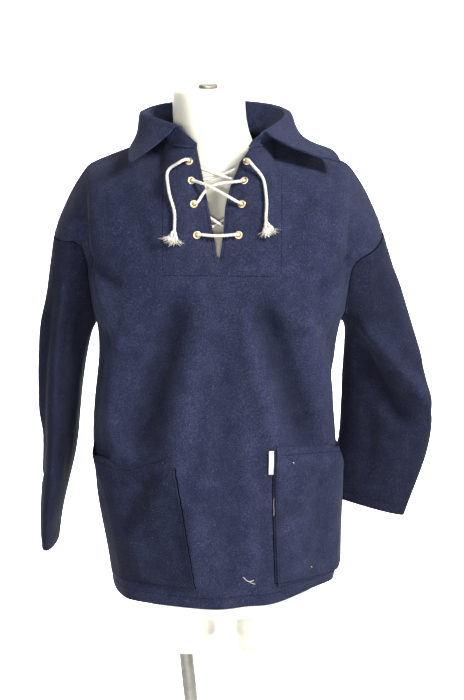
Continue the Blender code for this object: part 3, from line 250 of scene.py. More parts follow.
def eyelet_place(side, row):
    """The middle of an eyelet and the direction that points out of the cloth there."""
    co = np.array([v.co for v in NODES[f"eyelet_{SIDE_NAME[side]}_{row}"].data.vertices])
    corners = np.unique(co.round(6), axis=0)
    middle = corners.mean(axis=0)
    _, axes = np.linalg.eigh(np.cov((corners - middle).T))
    normal = axes[:, 0] * (-1 if axes[1, 0] > 0 else 1)
    return Vector(middle), Vector(normal)


EYELETS = {(side, row): eyelet_place(side, row) for side in (LEFT, RIGHT) for row in (1, 2, 3, 4)}
for key, (middle, _) in EYELETS.items():
    print("eyelet", key, tuple(round(v, 4) for v in middle))

# %% Where the lace goes
LACE_STRAIGHT, LACE_END, LACE_RISE, LACE_SHOULDER = 0.0024, 0.0012, 0.0075, 0.0062
FIT_GAP = 0.0003
LACE_LIFT = 0.0020
LACE_ORDER = ((LEFT, 1), (RIGHT, 2), (LEFT, 3), (RIGHT, 4), (LEFT, 4), (RIGHT, 3), (LEFT, 2), (RIGHT, 1))
# One point on each stretch: its share of the way, how high it stands off the cloth, how far it drops
LACE_BENDS = (
    (0.50, 0.0078, 0.002), (0.68, 0.0074, -0.013), (0.50, 0.0092, 0.002), (0.50, 0.0088, 0.002),
    (0.50, 0.0152, 0.002), (0.64, 0.0174, 0.000), (0.50, 0.0138, 0.002),
)
LACE_END_ROUTES = {
    LEFT: ((-0.0730, 1.4640), (-0.0761, 1.4460), (-0.0712, 1.4230),
           (-0.0655, 1.4010), (-0.0650, 1.3810), (-0.0653, 1.3700)),
    RIGHT: ((0.0745, 1.4540), (0.0800, 1.4320), (0.0815, 1.4100),
            (0.0812, 1.3930), (0.0815, 1.3840)),
}
LACE_LOOP = ((0.0060, 0.0000), (0.0105, 0.0016), (0.0138, 0.0054), (0.0148, 0.0105), (0.0122, 0.0185))


def along_cloth(way, normal):
    return (way - normal * way.dot(normal)).normalized()


def eyelet_turn(place, outward, over):
    return [
        place + outward * LACE_STRAIGHT,
        place + outward * LACE_RISE * 0.82 + over * LACE_SHOULDER * 0.28,
        place + outward * LACE_RISE + over * LACE_SHOULDER,
    ]


def lacing_route():
    route = []
    last = len(LACE_ORDER) - 1
    for step, key in enumerate(LACE_ORDER):
        place, normal = EYELETS[key]
        outward = normal * (1 if step % 2 else -1)
        if step == 0:
            route.append(place + normal * LACE_END)
        else:
            over = along_cloth(EYELETS[LACE_ORDER[step - 1]][0] - place, normal)
            route += eyelet_turn(place, -outward, over)[::-1]
        if step == last:
            route.append(place + normal * LACE_END)
        else:
            after, next_normal = EYELETS[LACE_ORDER[step + 1]]
            route += eyelet_turn(place, outward, along_cloth(after - place, normal))
            share, height, drop = LACE_BENDS[step]
            away = (normal + next_normal).normalized() * (1 if step % 2 else -1)
            route.append(place.lerp(after, share) + away * height - Vector((0, 0, drop)))
    return route


def tree_of(obj):
    return BVHTree.FromPolygons([v.co for v in obj.data.vertices], [p.vertices for p in obj.data.polygons])


front_tree = tree_of(NODES["front"])


def on_front(x, z, lift):
    spot, normal, _, _ = front_tree.ray_cast(Vector((x, -1, z)), Vector((0, 1, 0)))
    return spot + normal * lift, normal


def free_end_route(side):
    place, normal = EYELETS[side, 1]
    hanging = [on_front(x, z, LACE_RADIUS + LACE_LIFT)[0] for x, z in LACE_END_ROUTES[side]]
    over = along_cloth(hanging[0] - place, normal)
    route = [place + normal * (LACE_END + FIT_GAP)]
    route += [place + normal * above + over * along for above, along in LACE_LOOP]
    return route + hanging


def smooth_line(points, spacing):
    """Evenly smooth points along the curve through these, no further apart than the spacing."""
    points = np.array([tuple(p) for p in points])
    apart = np.linalg.norm(np.diff(points, axis=0), axis=1)
    points = points[np.concatenate([[True], apart > 0.0002])]
    steps = np.linalg.norm(np.diff(points, axis=0), axis=1)
    knots = np.concatenate([[0], np.cumsum(np.sqrt(steps))])
    at = [0.0]
    for start, end, step in zip(knots, knots[1:], steps):
        at += list(np.linspace(start, end, math.ceil(step / spacing) + 1)[1:])
    return natural_spline(knots, points, np.array(at))


def natural_spline(knots, values, at):
    """A curve through all the values, with no bend at its two ends."""
    count = len(knots)
    gaps = np.diff(knots)
    slopes = np.diff(values, axis=0) / gaps[:, None]
    system, known = np.eye(count), np.zeros_like(values)
    for i in range(1, count - 1):
        system[i, i - 1:i + 2] = gaps[i - 1], 2 * (gaps[i - 1] + gaps[i]), gaps[i]
        known[i] = 6 * (slopes[i] - slopes[i - 1])
    bend = np.linalg.solve(system, known)
    spot = np.clip(np.searchsorted(knots, at, side="right") - 1, 0, count - 2)
    gap, t = gaps[spot][:, None], (at - knots[spot])[:, None]
    start, rate = values[spot], slopes[spot]
    return start + t * (rate - gap * (2 * bend[spot] + bend[spot + 1]) / 6) \
        + t ** 2 * bend[spot] / 2 + t ** 3 * (bend[spot + 1] - bend[spot]) / (6 * gap)


held_line = smooth_line(lacing_route(), 0.0012)
end_lines = {side: smooth_line(free_end_route(side), 0.0012) for side in (LEFT, RIGHT)}


def length_of(line):
    return float(np.linalg.norm(np.diff(line, axis=0), axis=1).sum())


print("held lace", round(length_of(held_line), 3))
print("free ends", [round(length_of(line), 3) for line in end_lines.values()])

# %% [markdown]
# A twisted cord could be three tubes wound round each other, or one tube whose outline has three
# lobes that turn as it goes. The second has no hidden walls and a third of the faces, and looks the
# same. A frame that never spins carries the outline along the line, and the twist is added to it.

# %% Twisted cord
ROPE_SIDES = 18
ROPE_LOBES = 3
ROPE_PITCH = 0.019


def shade_smooth(mesh):
    mesh.polygons.foreach_set("use_smooth", [True] * len(mesh.polygons))


def put(name, mesh, *materials, smooth=True):
    """Links a finished mesh as an object that rides on the shirt's only body."""
    obj = bpy.data.objects.new(name, mesh)
    scene.collection.objects.link(obj)
    for material in materials:
        mesh.materials.append(material)
    if smooth:
        shade_smooth(mesh)
    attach(obj, "root")
    return obj


def carried_frames(line):
    """For each point of the line, two directions across it that don't spin."""
    ways = np.gradient(line, axis=0)
    ways /= np.linalg.norm(ways, axis=1)[:, None]
    side = np.cross(ways[0], (0.3, 1, 0.2))
    side /= np.linalg.norm(side)
    sides = []
    for way in ways:
        side = side - way * side.dot(way)
        side /= np.linalg.norm(side)
        sides.append(side)
    sides = np.array(sides)
    return sides, np.cross(ways, sides)


def rope_mesh(name, line, radius, sides=ROPE_SIDES, depth=0.2):
    """A tube along the line with closed ends. depth is how far the grooves of its twist go in."""
    across, up = carried_frames(line)
    along = np.concatenate([[0], np.cumsum(np.linalg.norm(np.diff(line, axis=0), axis=1))])
    angle = np.linspace(0, 2 * math.pi, sides, endpoint=False)
    points = []
    for i, middle in enumerate(line):
        turn = 2 * math.pi * along[i] / ROPE_PITCH
        lobe = np.abs(np.cos(ROPE_LOBES * (angle - turn) / 2))
        out = radius * (1 - depth + depth * lobe)
        ring = np.outer(out * np.cos(angle), across[i]) + np.outer(out * np.sin(angle), up[i])
        points.append(middle + ring)
    points = np.concatenate(points + [line[:1], line[-1:]])
    count, first, last = len(line), len(points) - 2, len(points) - 1
    faces = []
    for i in range(count - 1):
        for j in range(sides):
            k = (j + 1) % sides
            faces.append((i * sides + j, i * sides + k, (i + 1) * sides + k, (i + 1) * sides + j))
    for j in range(sides):
        k = (j + 1) % sides
        faces.append((first, k, j))
        faces.append((last, (count - 1) * sides + j, (count - 1) * sides + k))
    mesh = bpy.data.meshes.new(name)
    mesh.from_pydata([tuple(p) for p in points], [], faces)
    return mesh


def thread_along(name, line, radius, material, sides=6):
    """A plain thin tube along the line."""
    return put(name, rope_mesh(name, line, radius, sides, depth=0.0), material)


lacing = put("lacing_cord", rope_mesh("lacing_cord", held_line, LACE_RADIUS), cotton)
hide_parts("lacing")
for side, line in end_lines.items():
    name = f"free_end_{SIDE_NAME[side]}"
    put(name, rope_mesh(name, line, LACE_RADIUS), cotton)
    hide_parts(f"lace_end_{SIDE_NAME[side]}")

# %% [markdown]
# Each free end is tied in an overhand knot and left to fray. The knot is a short piece of the same
# cord wound as a trefoil, the simplest knot there is, pressed flat against the cloth. Below it the
# cord comes apart into a few thick plies and many fine hairs, all tapering threads.

# %% Knots
KNOT_LEAN = {LEFT: -14.0, RIGHT: 14.0}
KNOT_SIZE = 0.0031
KNOT_DROP = 0.0095
KNOT_THICK = 1.12
FRAY = {  # the plies and then the hairs: how many, how widely they fan, how long, how thick, seed
    LEFT: ((22, 1.30, 0.0165, 0.00150, 4), (60, 1.50, 0.0150, 0.00055, 5)),
    RIGHT: ((18, 0.95, 0.0160, 0.00150, 9), (50, 1.15, 0.0145, 0.00055, 10)),
}


def knot_axes(side):
    """The knot's starting point, and its down, across and out directions."""
    start = Vector(end_lines[side][-1])
    _, normal = on_front(start.x, start.z - 0.012, 0)
    lean = math.radians(KNOT_LEAN[side])
    down = along_cloth(Vector((math.sin(lean), 0, -math.cos(lean))), normal)
    return start, down, down.cross(normal), normal


def knot_line(side):
    start, down, across, normal = knot_axes(side)
    middle = start + down * KNOT_DROP + normal * 0.0022
    points = []
    for t in np.linspace(0.12, 2 * math.pi - 0.12, 90):
        a = math.sin(t) + 2 * math.sin(2 * t)
        b = math.cos(t) - 2 * math.cos(2 * t)
        c = -math.sin(3 * t)
        flat = across * a * 0.92 + down * b * 1.02
        points.append(middle + flat * KNOT_SIZE * 0.80 + normal * c * KNOT_SIZE * 0.62)
    return np.array([tuple(p) for p in points])


def fray_mesh(side):
    """Loose plies and hairs, each a bent five-sided needle, in one mesh."""
    start, down, across, normal = knot_axes(side)
    work = bmesh.new()
    for count, spread, longest, thickest, seed in FRAY[side]:
        dice = random.Random(seed)
        for _ in range(count):
            fan = dice.uniform(-1, 1) * spread
            root = start + down * (KNOT_DROP + 0.0012) + across * fan * 0.0044
            root += normal * dice.uniform(0.0, 0.0050)
            way = (down * math.cos(fan) + across * math.sin(fan)).normalized()
            long = longest * dice.uniform(0.60, 1.0)
            curl = dice.uniform(-0.0060, 0.0060)
            lift = dice.uniform(-0.0010, 0.0030)
            thick = thickest * dice.uniform(0.65, 1.0)
            rings = []
            for share in (0, 0.25, 0.5, 0.75, 1):
                spot = root + way * long * share + across * curl * share ** 2 + normal * lift * share
                size = thick * (1 - 0.72 * share ** 2)
                rings.append([work.verts.new(spot + (across * math.cos(a) + normal * math.sin(a)) * size)
                              for a in (0, 1.257, 2.513, 3.770, 5.027)])
            for lower, upper in zip(rings, rings[1:]):
                for i in range(5):
                    k = (i + 1) % 5
                    work.faces.new((lower[i], lower[k], upper[k], upper[i]))
            work.faces.new(rings[0][::-1])
            work.faces.new(rings[-1])
    bmesh.ops.recalc_face_normals(work, faces=work.faces)
    mesh = bpy.data.meshes.new(f"frayed_yarns_{SIDE_NAME[side]}")
    work.to_mesh(mesh)
    work.free()
    return mesh


for side in (LEFT, RIGHT):
    name = SIDE_NAME[side]
    tied = rope_mesh(f"tied_knot_{name}", knot_line(side), LACE_RADIUS * KNOT_THICK)
    knot = put(f"tied_knot_{name}", tied, cotton)
    yarns = put(f"frayed_yarns_{name}", fray_mesh(side), fray)
    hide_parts(f"knot_{name}")
    line = end_lines[side]

# %% [markdown]
# Every cut piece of cloth starts as a copy of its solid. The copy is merged, its triangles are paired
# back into the grid that they came from, the edges of the cloth are creased so that they keep their
# line, and the grid is subdivided until it is fine enough to fold.


# %% Cloth from a solid
def clear_selection():
    if bpy.context.mode != "OBJECT":
        bpy.ops.object.mode_set(mode="OBJECT")
    bpy.ops.object.select_all(action="DESELECT")


def only(obj):
    """Makes this the one selected object."""
    clear_selection()
    bpy.context.view_layer.objects.active = obj
    obj.select_set(True)


def copy_of(node, name, *materials):
    mesh = NODES[node].data.copy()
    mesh.name = name
    mesh.materials.clear()
    obj = put(name, mesh, *materials)
    only(obj)
    bpy.ops.mesh.customdata_custom_splitnormals_clear()
    bpy.ops.object.mode_set(mode="EDIT")
    bpy.ops.mesh.select_all(action="SELECT")
    bpy.ops.mesh.remove_doubles(threshold=0.00002)
    bpy.ops.mesh.tris_convert_to_quads(face_threshold=math.radians(50), shape_threshold=math.radians(50))
    bpy.ops.mesh.select_all(action="DESELECT")
    bpy.ops.object.mode_set(mode="OBJECT")
    return obj


def apply(obj, kind, **settings):
    """Adds a modifier, sets it, and applies it."""
    modifier = obj.modifiers.new(kind.title(), kind)
    for key, value in settings.items():
        setattr(modifier, key, value)
    only(obj)
    bpy.ops.object.modifier_apply(modifier=modifier.name)


def refine(obj, levels, sharp=42):
    """Creases the cloth's cut edges and subdivides the rest into a smooth fine grid."""
    only(obj)
    bpy.ops.object.mode_set(mode="EDIT")
    bpy.ops.mesh.select_mode(type="EDGE")
    bpy.ops.mesh.edges_select_sharp(sharpness=math.radians(sharp))
    bpy.ops.transform.edge_crease(value=1.0)
    bpy.ops.mesh.select_all(action="DESELECT")
    bpy.ops.object.mode_set(mode="OBJECT")
    apply(obj, "SUBSURF", levels=levels, render_levels=levels, boundary_smooth="PRESERVE_CORNERS")
    shade_smooth(obj.data)


def points_of(obj):
    points = np.empty(len(obj.data.vertices) * 3)
    obj.data.vertices.foreach_get("co", points)
    return points.reshape(-1, 3)


def set_points(obj, points):
    obj.data.vertices.foreach_set("co", points.ravel())
    obj.data.update()


def eased(share):
    """Makes a share that runs from 0 to 1 start and end softly."""
    return share * share * (3 - 2 * share)


# %% [markdown]
# Heavy wool folds in long soft troughs and ridges, steeper on one side than on the other. Each one is
# a row of a table. Both faces of the cloth move by the same amount, so it keeps its thickness.

# %% Folds of the body
# The columns are how wide the fold is, how far the cloth moves out, how much it leans, as a share, and
# then the points (across, height) of the line that it follows. Sizes are in millimetres.
BODY_FOLDS = {
    "front": (
        (44, -15, 0.35, (-50, 1285), (-88, 1170), (-122, 1070), (-136, 975)),
        (42, 6, -0.3, (-6, 1290), (-34, 1150), (-56, 1020), (-72, 900)),
        (28, 8, 0.2, (-128, 1250), (-166, 1150), (-182, 1060), (-186, 1000)),
        (40, -14.5, -0.35, (66, 1285), (106, 1180), (142, 1080), (172, 990)),
        (36, 7, 0.3, (40, 1270), (66, 1140), (98, 1020), (112, 930)),
        (26, 8, -0.2, (136, 1260), (176, 1150), (198, 1050)),
        (30, -5, 0.2, (10, 1240), (14, 1100), (10, 960), (2, 830)),
        (26, 5.5, -0.3, (46, 1060), (56, 950), (62, 850), (54, 765)),
        (24, 5, 0.3, (-44, 930), (-36, 840), (-30, 765)),
        (20, -5.5, 0.1, (22, 900), (18, 820), (22, 760)),
        (26, -8.5, 0.3, (-98, 990), (-130, 930), (-168, 852)),
        (20, -4.5, 0.0, (-66, 915), (-58, 805)),
        (22, 5, 0.2, (-146, 880), (-118, 785)),
        (18, 6, -0.4, (118, 905), (152, 785)),
        (20, -5, 0.2, (172, 970), (182, 860), (172, 785)),
        (18, -6.2, 0.2, (-216, 1335), (-186, 1292), (-148, 1268)),
        (18, 4.8, 0.2, (-206, 1300), (-176, 1225), (-152, 1160)),
        (18, -6.2, -0.2, (224, 1330), (196, 1285), (158, 1266)),
        (18, 4.8, -0.2, (207, 1296), (186, 1225), (164, 1170)),
        (26, -4.6, 0.0, (-166, 1440), (-126, 1390), (-108, 1320)),
        (26, -4.6, 0.0, (168, 1440), (136, 1385), (128, 1310)),
        (50, -11, 0.0, (226, 1150), (230, 1050), (226, 960)),
    ),
    "back": (
        (40, -11, 0.3, (-100, 1390), (-112, 1240), (-104, 1060), (-90, 860)),
        (36, 8, -0.3, (-50, 1360), (-50, 1200), (-40, 1000), (-46, 770)),
        (32, -8, 0.2, (12, 1400), (8, 1240), (16, 1060), (10, 800)),
        (34, 8, 0.3, (66, 1380), (64, 1220), (70, 1020), (60, 770)),
        (36, -10.5, -0.3, (118, 1380), (124, 1220), (116, 1040), (112, 820)),
        (28, 6.5, 0.2, (-160, 1300), (-158, 1160), (-150, 1000)),
        (28, 6.5, -0.2, (164, 1300), (168, 1150), (156, 980)),
        (18, -5.5, 0.0, (-205, 1320), (-170, 1270), (-130, 1250)),
        (18, -5.5, 0.0, (208, 1320), (172, 1272), (134, 1250)),
        (24, 6, 0.3, (-120, 980), (-134, 900), (-120, 780)),
        (24, -6, 0.3, (140, 960), (130, 880), (140, 780)),
        (50, -11, 0.0, (226, 1150), (230, 1050), (226, 960)),
    ),
}


FOLD_FADE = 0.22  # share of its length over which each end of a fold fades out


def fold_depth(across, height, folds):
    """How far each point moves outwards, from the folds near it."""
    total = np.zeros(len(across))
    here = np.stack([across, height], axis=1)
    for wide, out, lean, *line in folds:
        line = np.array(line) * MM
        spans = np.linalg.norm(np.diff(line, axis=0), axis=1)
        before = np.concatenate([[0], np.cumsum(spans)])
        best = np.full(len(here), 1e9)
        side_of = np.zeros(len(here))
        along = np.zeros(len(here))
        for start, end, span, done in zip(line, line[1:], spans, before):
            way = (end - start) / span
            share = np.clip((here - start) @ way, 0, span)
            apart = here - (start + share[:, None] * way)
            distance = np.linalg.norm(apart, axis=1)
            nearer = distance < best
            best[nearer] = distance[nearer]
            side_of[nearer] = np.sign(way[0] * apart[nearer, 1] - way[1] * apart[nearer, 0])
            along[nearer] = (done + share[nearer]) / before[-1]
        wide = wide * MM * (1 + lean * side_of)
        shape = np.where(best < wide, 0.5 + 0.5 * np.cos(math.pi * np.minimum(best / wide, 1)), 0)
        total += out * MM * shape * eased(np.clip(np.minimum(along, 1 - along) / FOLD_FADE, 0, 1))
    return total


BODY_CORE = dict(x=0.003, y=0.0, top=1.36, wide=0.21, deep=0.145, high=0.16)


def body_outward(points):
    """The direction away from the body's core, which turns upwards over the shoulders."""
    away = points - (BODY_CORE["x"], BODY_CORE["y"], 0)
    away[:, 2] -= np.minimum(points[:, 2], BODY_CORE["top"])
    away /= [BODY_CORE[name] ** 2 for name in ("wide", "deep", "high")]
    return away / np.linalg.norm(away, axis=1)[:, None]


FOLD_FULL = 0.012  # depth at which a fold's painted shade and painted light are full
HEM_LIFT = dict(start=0.06, reach=0.14, below=0.790, over=0.045, rise=0.016, tuck=0.009)


def paint_fold_shade(obj, depth):
    """Stores how far each point was folded in or out, which paints shade into the wool's troughs and light
    onto its ridges.
    """
    shade = obj.data.attributes.new("painted_fold_shade", "FLOAT", "POINT")
    shade.data.foreach_set("value", np.clip(depth / FOLD_FULL, -1, 1))


def lift_hem(points):
    """The hem rises towards its right-hand corner, and the corner draws in."""
    share = np.clip((points[:, 0] - HEM_LIFT["start"]) / HEM_LIFT["reach"], 0, 1)
    low = np.clip((HEM_LIFT["below"] - points[:, 2]) / HEM_LIFT["over"], 0, 1)
    lift = eased(share) * eased(low)
    points[:, 0] -= HEM_LIFT["tuck"] * lift * share
    points[:, 2] += HEM_LIFT["rise"] * lift
    return points


def fold_body(obj, face):
    points = points_of(obj)
    depth = fold_depth(points[:, 0], points[:, 2], BODY_FOLDS[face])
    set_points(obj, lift_hem(points + body_outward(points) * depth[:, None]))
    paint_fold_shade(obj, depth)
    print(obj.name, "folds from", round(depth.min() * 1000, 1), "to", round(depth.max() * 1000, 1), "mm")


# %% [markdown]
# The slit's right edge isn't straight. It leans in beside the second eyelet, then rolls outwards to
# meet the collar. The panel, the facing and the collar's end all follow the same table.

# %% Slit edge
SLIT_MIDDLE = 0.004
SLIT_LEAN = (  # height, and how far the edge moves to the right there
    (1.300, 0.0), (1.318, 0.0024), (1.345, 0.0020), (1.371, -0.0005), (1.410, -0.0065),
    (1.447, -0.0080), (1.472, -0.0030), (1.490, 0.0060), (1.504, 0.0125), (1.560, 0.0125),
)
SLIT_EDGE = dict(foot=1.300, high=0.20, wide=0.030, curve=0.9)
SLIT_REACH = {"in": 0.012, "out": 0.034}


def lean_slit(points):
    """Moves the cloth beside the slit's right edge across, and lowers its top corner."""
    height, across = np.array(SLIT_LEAN).T
    move = np.interp(points[:, 2], height, across)
    up = np.clip((points[:, 2] - SLIT_EDGE["foot"]) / SLIT_EDGE["high"], 0, 1)
    edge = SLIT_EDGE["wide"] * up ** SLIT_EDGE["curve"] + SLIT_MIDDLE
    reach = np.where(move > 0, SLIT_REACH["out"], SLIT_REACH["in"])
    near = 1 - eased(np.clip((points[:, 0] - edge) / reach, 0, 1))
    near *= (points[:, 0] > SLIT_MIDDLE) * (points[:, 1] < -0.04)
    points[:, 0] += move * near
    points[:, 2] -= np.clip(move, 0, None) * 0.45 * near
    return points


# %% [markdown]
# The front and back are the two big panels. The back panel has no photo to follow, so it gets the
# same kind of long folds, hanging from the shoulder blades.

# %% Front and back
EDGE_ROUND = 0.0008


def soften_edges(obj):
    """Rounds the cloth's cut edges a little, as a turned and pressed edge is."""
    apply(obj, "BEVEL", width=EDGE_ROUND, segments=2, limit_method="ANGLE", angle_limit=math.radians(55),
          use_clamp_overlap=True)
    shade_smooth(obj.data)


def triangles_of(obj):
    return sum(len(p.vertices) - 2 for p in obj.data.polygons)


body = {}
for node in ("front", "back"):
    body[node] = copy_of(node, f"{node}_panel", wool)
    refine(body[node], 2)
    fold_body(body[node], node)
    if node == "front":
        set_points(body[node], lean_slit(points_of(body[node])))
    soften_edges(body[node])
    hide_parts(node)
    print(node, "triangles", triangles_of(body[node]))

# %% [markdown]
# The facing lies inside the slit, the two patch pockets lie on the front, and all three move with the
# folds of the panel that they are sewn to.

# %% Facing and pockets
# The mouths hang from top down to reach below it. drop is how far each place across hangs below its
# solid, tuck how far the outer corner, from side on, lies in against the body, and gape how much
# further the middle, within the span, stands open.
MOUTHS = {
    "pocket_left": dict(
        top=1.015, reach=0.115, tuck=0.0050, side=-0.165, gape=0.0090, span=(-0.186, -0.078),
        drop=((-0.213, 0.0060), (-0.198, 0.0060), (-0.186, 0.0080), (-0.178, 0.0140), (-0.162, 0.0250),
              (-0.146, 0.0265), (-0.120, 0.0215), (-0.097, 0.0125), (-0.071, 0.0))),
    "pocket_right": dict(
        top=1.015, reach=0.100, tuck=0.0035, side=0.178, gape=0.0045, span=(0.106, 0.196),
        drop=((0.098, 0.0), (0.137, 0.0045), (0.190, 0.0060), (0.205, 0.0120), (0.224, 0.0200))),
}


def hang_mouth(obj, mouth):
    points = points_of(obj)
    x, drop = np.array(mouth["drop"]).T
    share = eased(np.clip((points[:, 2] - mouth["top"] + mouth["reach"]) / mouth["reach"], 0, 1))
    corner = np.clip((points[:, 0] - mouth["side"]) * np.sign(mouth["side"]) / 0.03, 0, 1)
    start, end = mouth["span"]
    open_by = mouth["gape"] * np.sin(math.pi * np.clip((points[:, 0] - start) / (end - start), 0, 1)) ** 2
    points += body_outward(points) * ((open_by * share - mouth["tuck"] * corner) * share)[:, None]
    points[:, 2] -= np.interp(points[:, 0], x, drop) * share
    set_points(obj, points)


for node, name in (("facing", "slit_facing"), ("pocket_left", "patch_pocket_left"),
                   ("pocket_right", "patch_pocket_right")):
    # The facing and the left pocket take darker copies of the wool: painted shade.
    piece = copy_of(node, name, {"facing": wool_facing_painted_shade, "pocket_left": wool_left_pocket_painted_shade}.get(node, wool))
    refine(piece, 2)
    if node in MOUTHS:
        hang_mouth(piece, MOUTHS[node])
    fold_body(piece, "front")
    if node == "facing":
        set_points(piece, lean_slit(points_of(piece)))
    soften_edges(piece)
    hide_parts(node)
    body[node] = piece

# %% [markdown]
# The sleeves are wide tubes set into dropped armholes. The cloth breaks in long creases from the
# underarm down, and in short ones at the inside of the elbow.

# %% Sleeves
SLEEVE_FOLDS = {
    LEFT: {
        "front": (
            (18, -8, 0.3, (-236, 1320), (-258, 1180), (-262, 1040), (-276, 900)),
            (14, 4, 0.0, (-290, 1240), (-300, 1120), (-302, 1000)),
        ),
        "side": (
            (20, -6, 0.2, (-40, 1300), (-48, 1180), (-40, 1040), (-30, 900)),
            (18, 4, 0.0, (-10, 1270), (-16, 1150), (-10, 1000)),
            (22, -5, 0.2, (50, 1260), (58, 1120), (50, 960)),
            (14, -3, 0.0, (-60, 960), (-20, 930), (30, 940)),
        ),
    },
    RIGHT: {
        "front": (
            (20, 11.5, 0.5, (232, 1214), (280, 1160), (336, 1086), (378, 1036)),
            (28, -12.5, -0.3, (236, 1176), (272, 1116), (318, 1050), (352, 1000)),
            (22, -4.6, 0.2, (262, 1060), (272, 980), (262, 890)),
            (24, 4.2, 0.2, (326, 1000), (322, 940), (306, 870)),
            (24, 4.4, 0.1, (300, 1310), (332, 1210), (366, 1110)),
            (20, -5, 0.1, (268, 1310), (290, 1230), (310, 1180)),
        ),
        "side": (),
    },
}
SLEEVE_CORE = {  # height, distance from the middle, depth
    LEFT: ((1.36, 0.250, 0.010), (1.15, 0.266, 0.020), (0.985, 0.273, 0.022),
           (0.85, 0.293, 0.010), (0.77, 0.294, 0.006)),
    RIGHT: ((1.36, 0.255, 0.010), (1.17, 0.288, 0.024), (1.02, 0.302, 0.052),
            (0.91, 0.283, 0.084), (0.83, 0.262, 0.100)),
}


def sleeve_outward(points, side):
    """The direction away from the line down the middle of the sleeve."""
    z, x, y = np.array(SLEEVE_CORE[side])[::-1].T
    away = np.zeros_like(points)
    away[:, 0] = points[:, 0] - side * np.interp(points[:, 2], z, x)
    away[:, 1] = points[:, 1] - np.interp(points[:, 2], z, y)
    return away / np.maximum(np.linalg.norm(away, axis=1), 1e-6)[:, None]


def fold_sleeve(obj, side):
    """Folds seen from the front go by x and height, and those seen from the side by y and height."""
    points = points_of(obj)
    away = sleeve_outward(points, side)
    depth = np.zeros(len(points))
    for seen, across, facing in (("front", 0, away[:, 1]), ("side", 1, away[:, 0])):
        share = np.clip(-facing * 3, 0, 1) + 0.6 * np.clip(facing * 3, 0, 1)
        depth += fold_depth(points[:, across], points[:, 2], SLEEVE_FOLDS[side][seen]) * share
    set_points(obj, points + away * depth[:, None])
    paint_fold_shade(obj, depth)


# %% [markdown]
# A seam pulls the cloth in. Along the armholes both pieces sink a little towards the arm, by the same
# amount at the seam, so that they still meet.

# %% Armhole seams
SEAM_DEPTH = 0.0024
SEAM_WIDTH = 0.0060
ARMHOLE_MIDDLE = {LEFT: (-0.235, 0.010, 1.300), RIGHT: (0.242, 0.010, 1.300)}
UNDER_ARM = 1.16  # below every armhole


def sink_armhole(obj, side, others):
    points = points_of(obj)
    trees = [tree_of(NODES[name]) for name in others]
    near = np.flatnonzero((points[:, 0] * side > 0.18) & (points[:, 2] > UNDER_ARM))
    for i in near:
        gap = min(tree.find_nearest(points[i])[3] for tree in trees)
        if gap < 3 * SEAM_WIDTH:
            way = np.array(ARMHOLE_MIDDLE[side]) - points[i]
            points[i] += way / np.linalg.norm(way) * SEAM_DEPTH * math.exp(-(gap / SEAM_WIDTH) ** 2)
    set_points(obj, points)


for side in (LEFT, RIGHT):
    for node in ("front", "back"):
        sink_armhole(body[node], side, [f"sleeve_{SIDE_NAME[side]}"])

sleeves = {}
for side in (LEFT, RIGHT):
    node = f"sleeve_{SIDE_NAME[side]}"
    # The sleeve takes the darker copy of the wool: painted shade.
    sleeves[side] = copy_of(node, f"set_in_{node}", wool_sleeve_painted_shade)
    refine(sleeves[side], 2)
    fold_sleeve(sleeves[side], side)
    sink_armhole(sleeves[side], side, ("front", "back"))
    soften_edges(sleeves[side])
    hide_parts(node)
    print(node, "triangles", triangles_of(sleeves[side]))

# %% [markdown]
# The collar is two layers, so its edge is fuller. It stands, rolls and falls like a sailor's collar.

# %% Collar
# The collar takes the lighter copy of the wool: painted light.
collar = copy_of("collar", "spread_collar", wool_collar_painted_light)
refine(collar, 3)
set_points(collar, lean_slit(points_of(collar)))
apply(collar, "BEVEL", width=0.0011, segments=3, limit_method="ANGLE", angle_limit=math.radians(55))
shade_smooth(collar.data)
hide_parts("collar")

# %% [markdown]
# The collar is sewn on along the neckline. The turnings of that seam fill the joint, so no light
# comes through it. They are one soft roll that follows the foot of the collar.

# %% Neck seam
NECK = (0.004, 0.002)
NECK_ROLL = 0.0021


def near_panels(node, limit):
    """The points of a solid that stand closer than the limit to the front's or the back's."""
    trees = [tree_of(NODES["front"]), tree_of(NODES["back"])]
    points = np.array([tuple(v.co) for v in NODES[node].data.vertices])
    gaps = np.array([min(tree.find_nearest(point)[3] for tree in trees) for point in points])
    return np.unique(points[gaps < limit].round(6), axis=0)


def neck_seam_line():
    """Points along the foot of the collar, from the right of the slit round the back to its left."""
    foot = near_panels("collar", 0.0062)
    foot = foot[np.hypot((foot[:, 0] - NECK[0]) / 0.100, (foot[:, 1] - NECK[1]) / 0.098) < 1.08]
    turn = np.degrees(np.arctan2(foot[:, 0] - NECK[0], NECK[1] - foot[:, 1])) % 360
    line = []
    for at in range(0, 360, 6):
        column = foot[np.abs(turn - at) < 4]
        if len(column):
            lowest = column[column[:, 2] < column[:, 2].min() + 0.0015]
            line.append(lowest.mean(axis=0) - (0, 0, NECK_ROLL * 0.45))
    return np.array(line)


seam_line = lean_slit(neck_seam_line())
print("neck seam points", len(seam_line))
neck_seam = thread_along("neck_seam", smooth_line(seam_line, 0.004), NECK_ROLL, wool, sides=10)

# %% [markdown]
# The armhole seams show as dark lines where the two pieces meet. Each is a near-black thread that lies in
# the groove, along the points of the sleeve that stand nearest to the panels; its darkness is also painted
# shade of the groove.

# %% Armhole threads
ARMHOLE_THREAD_AND_SHADE = 0.0007


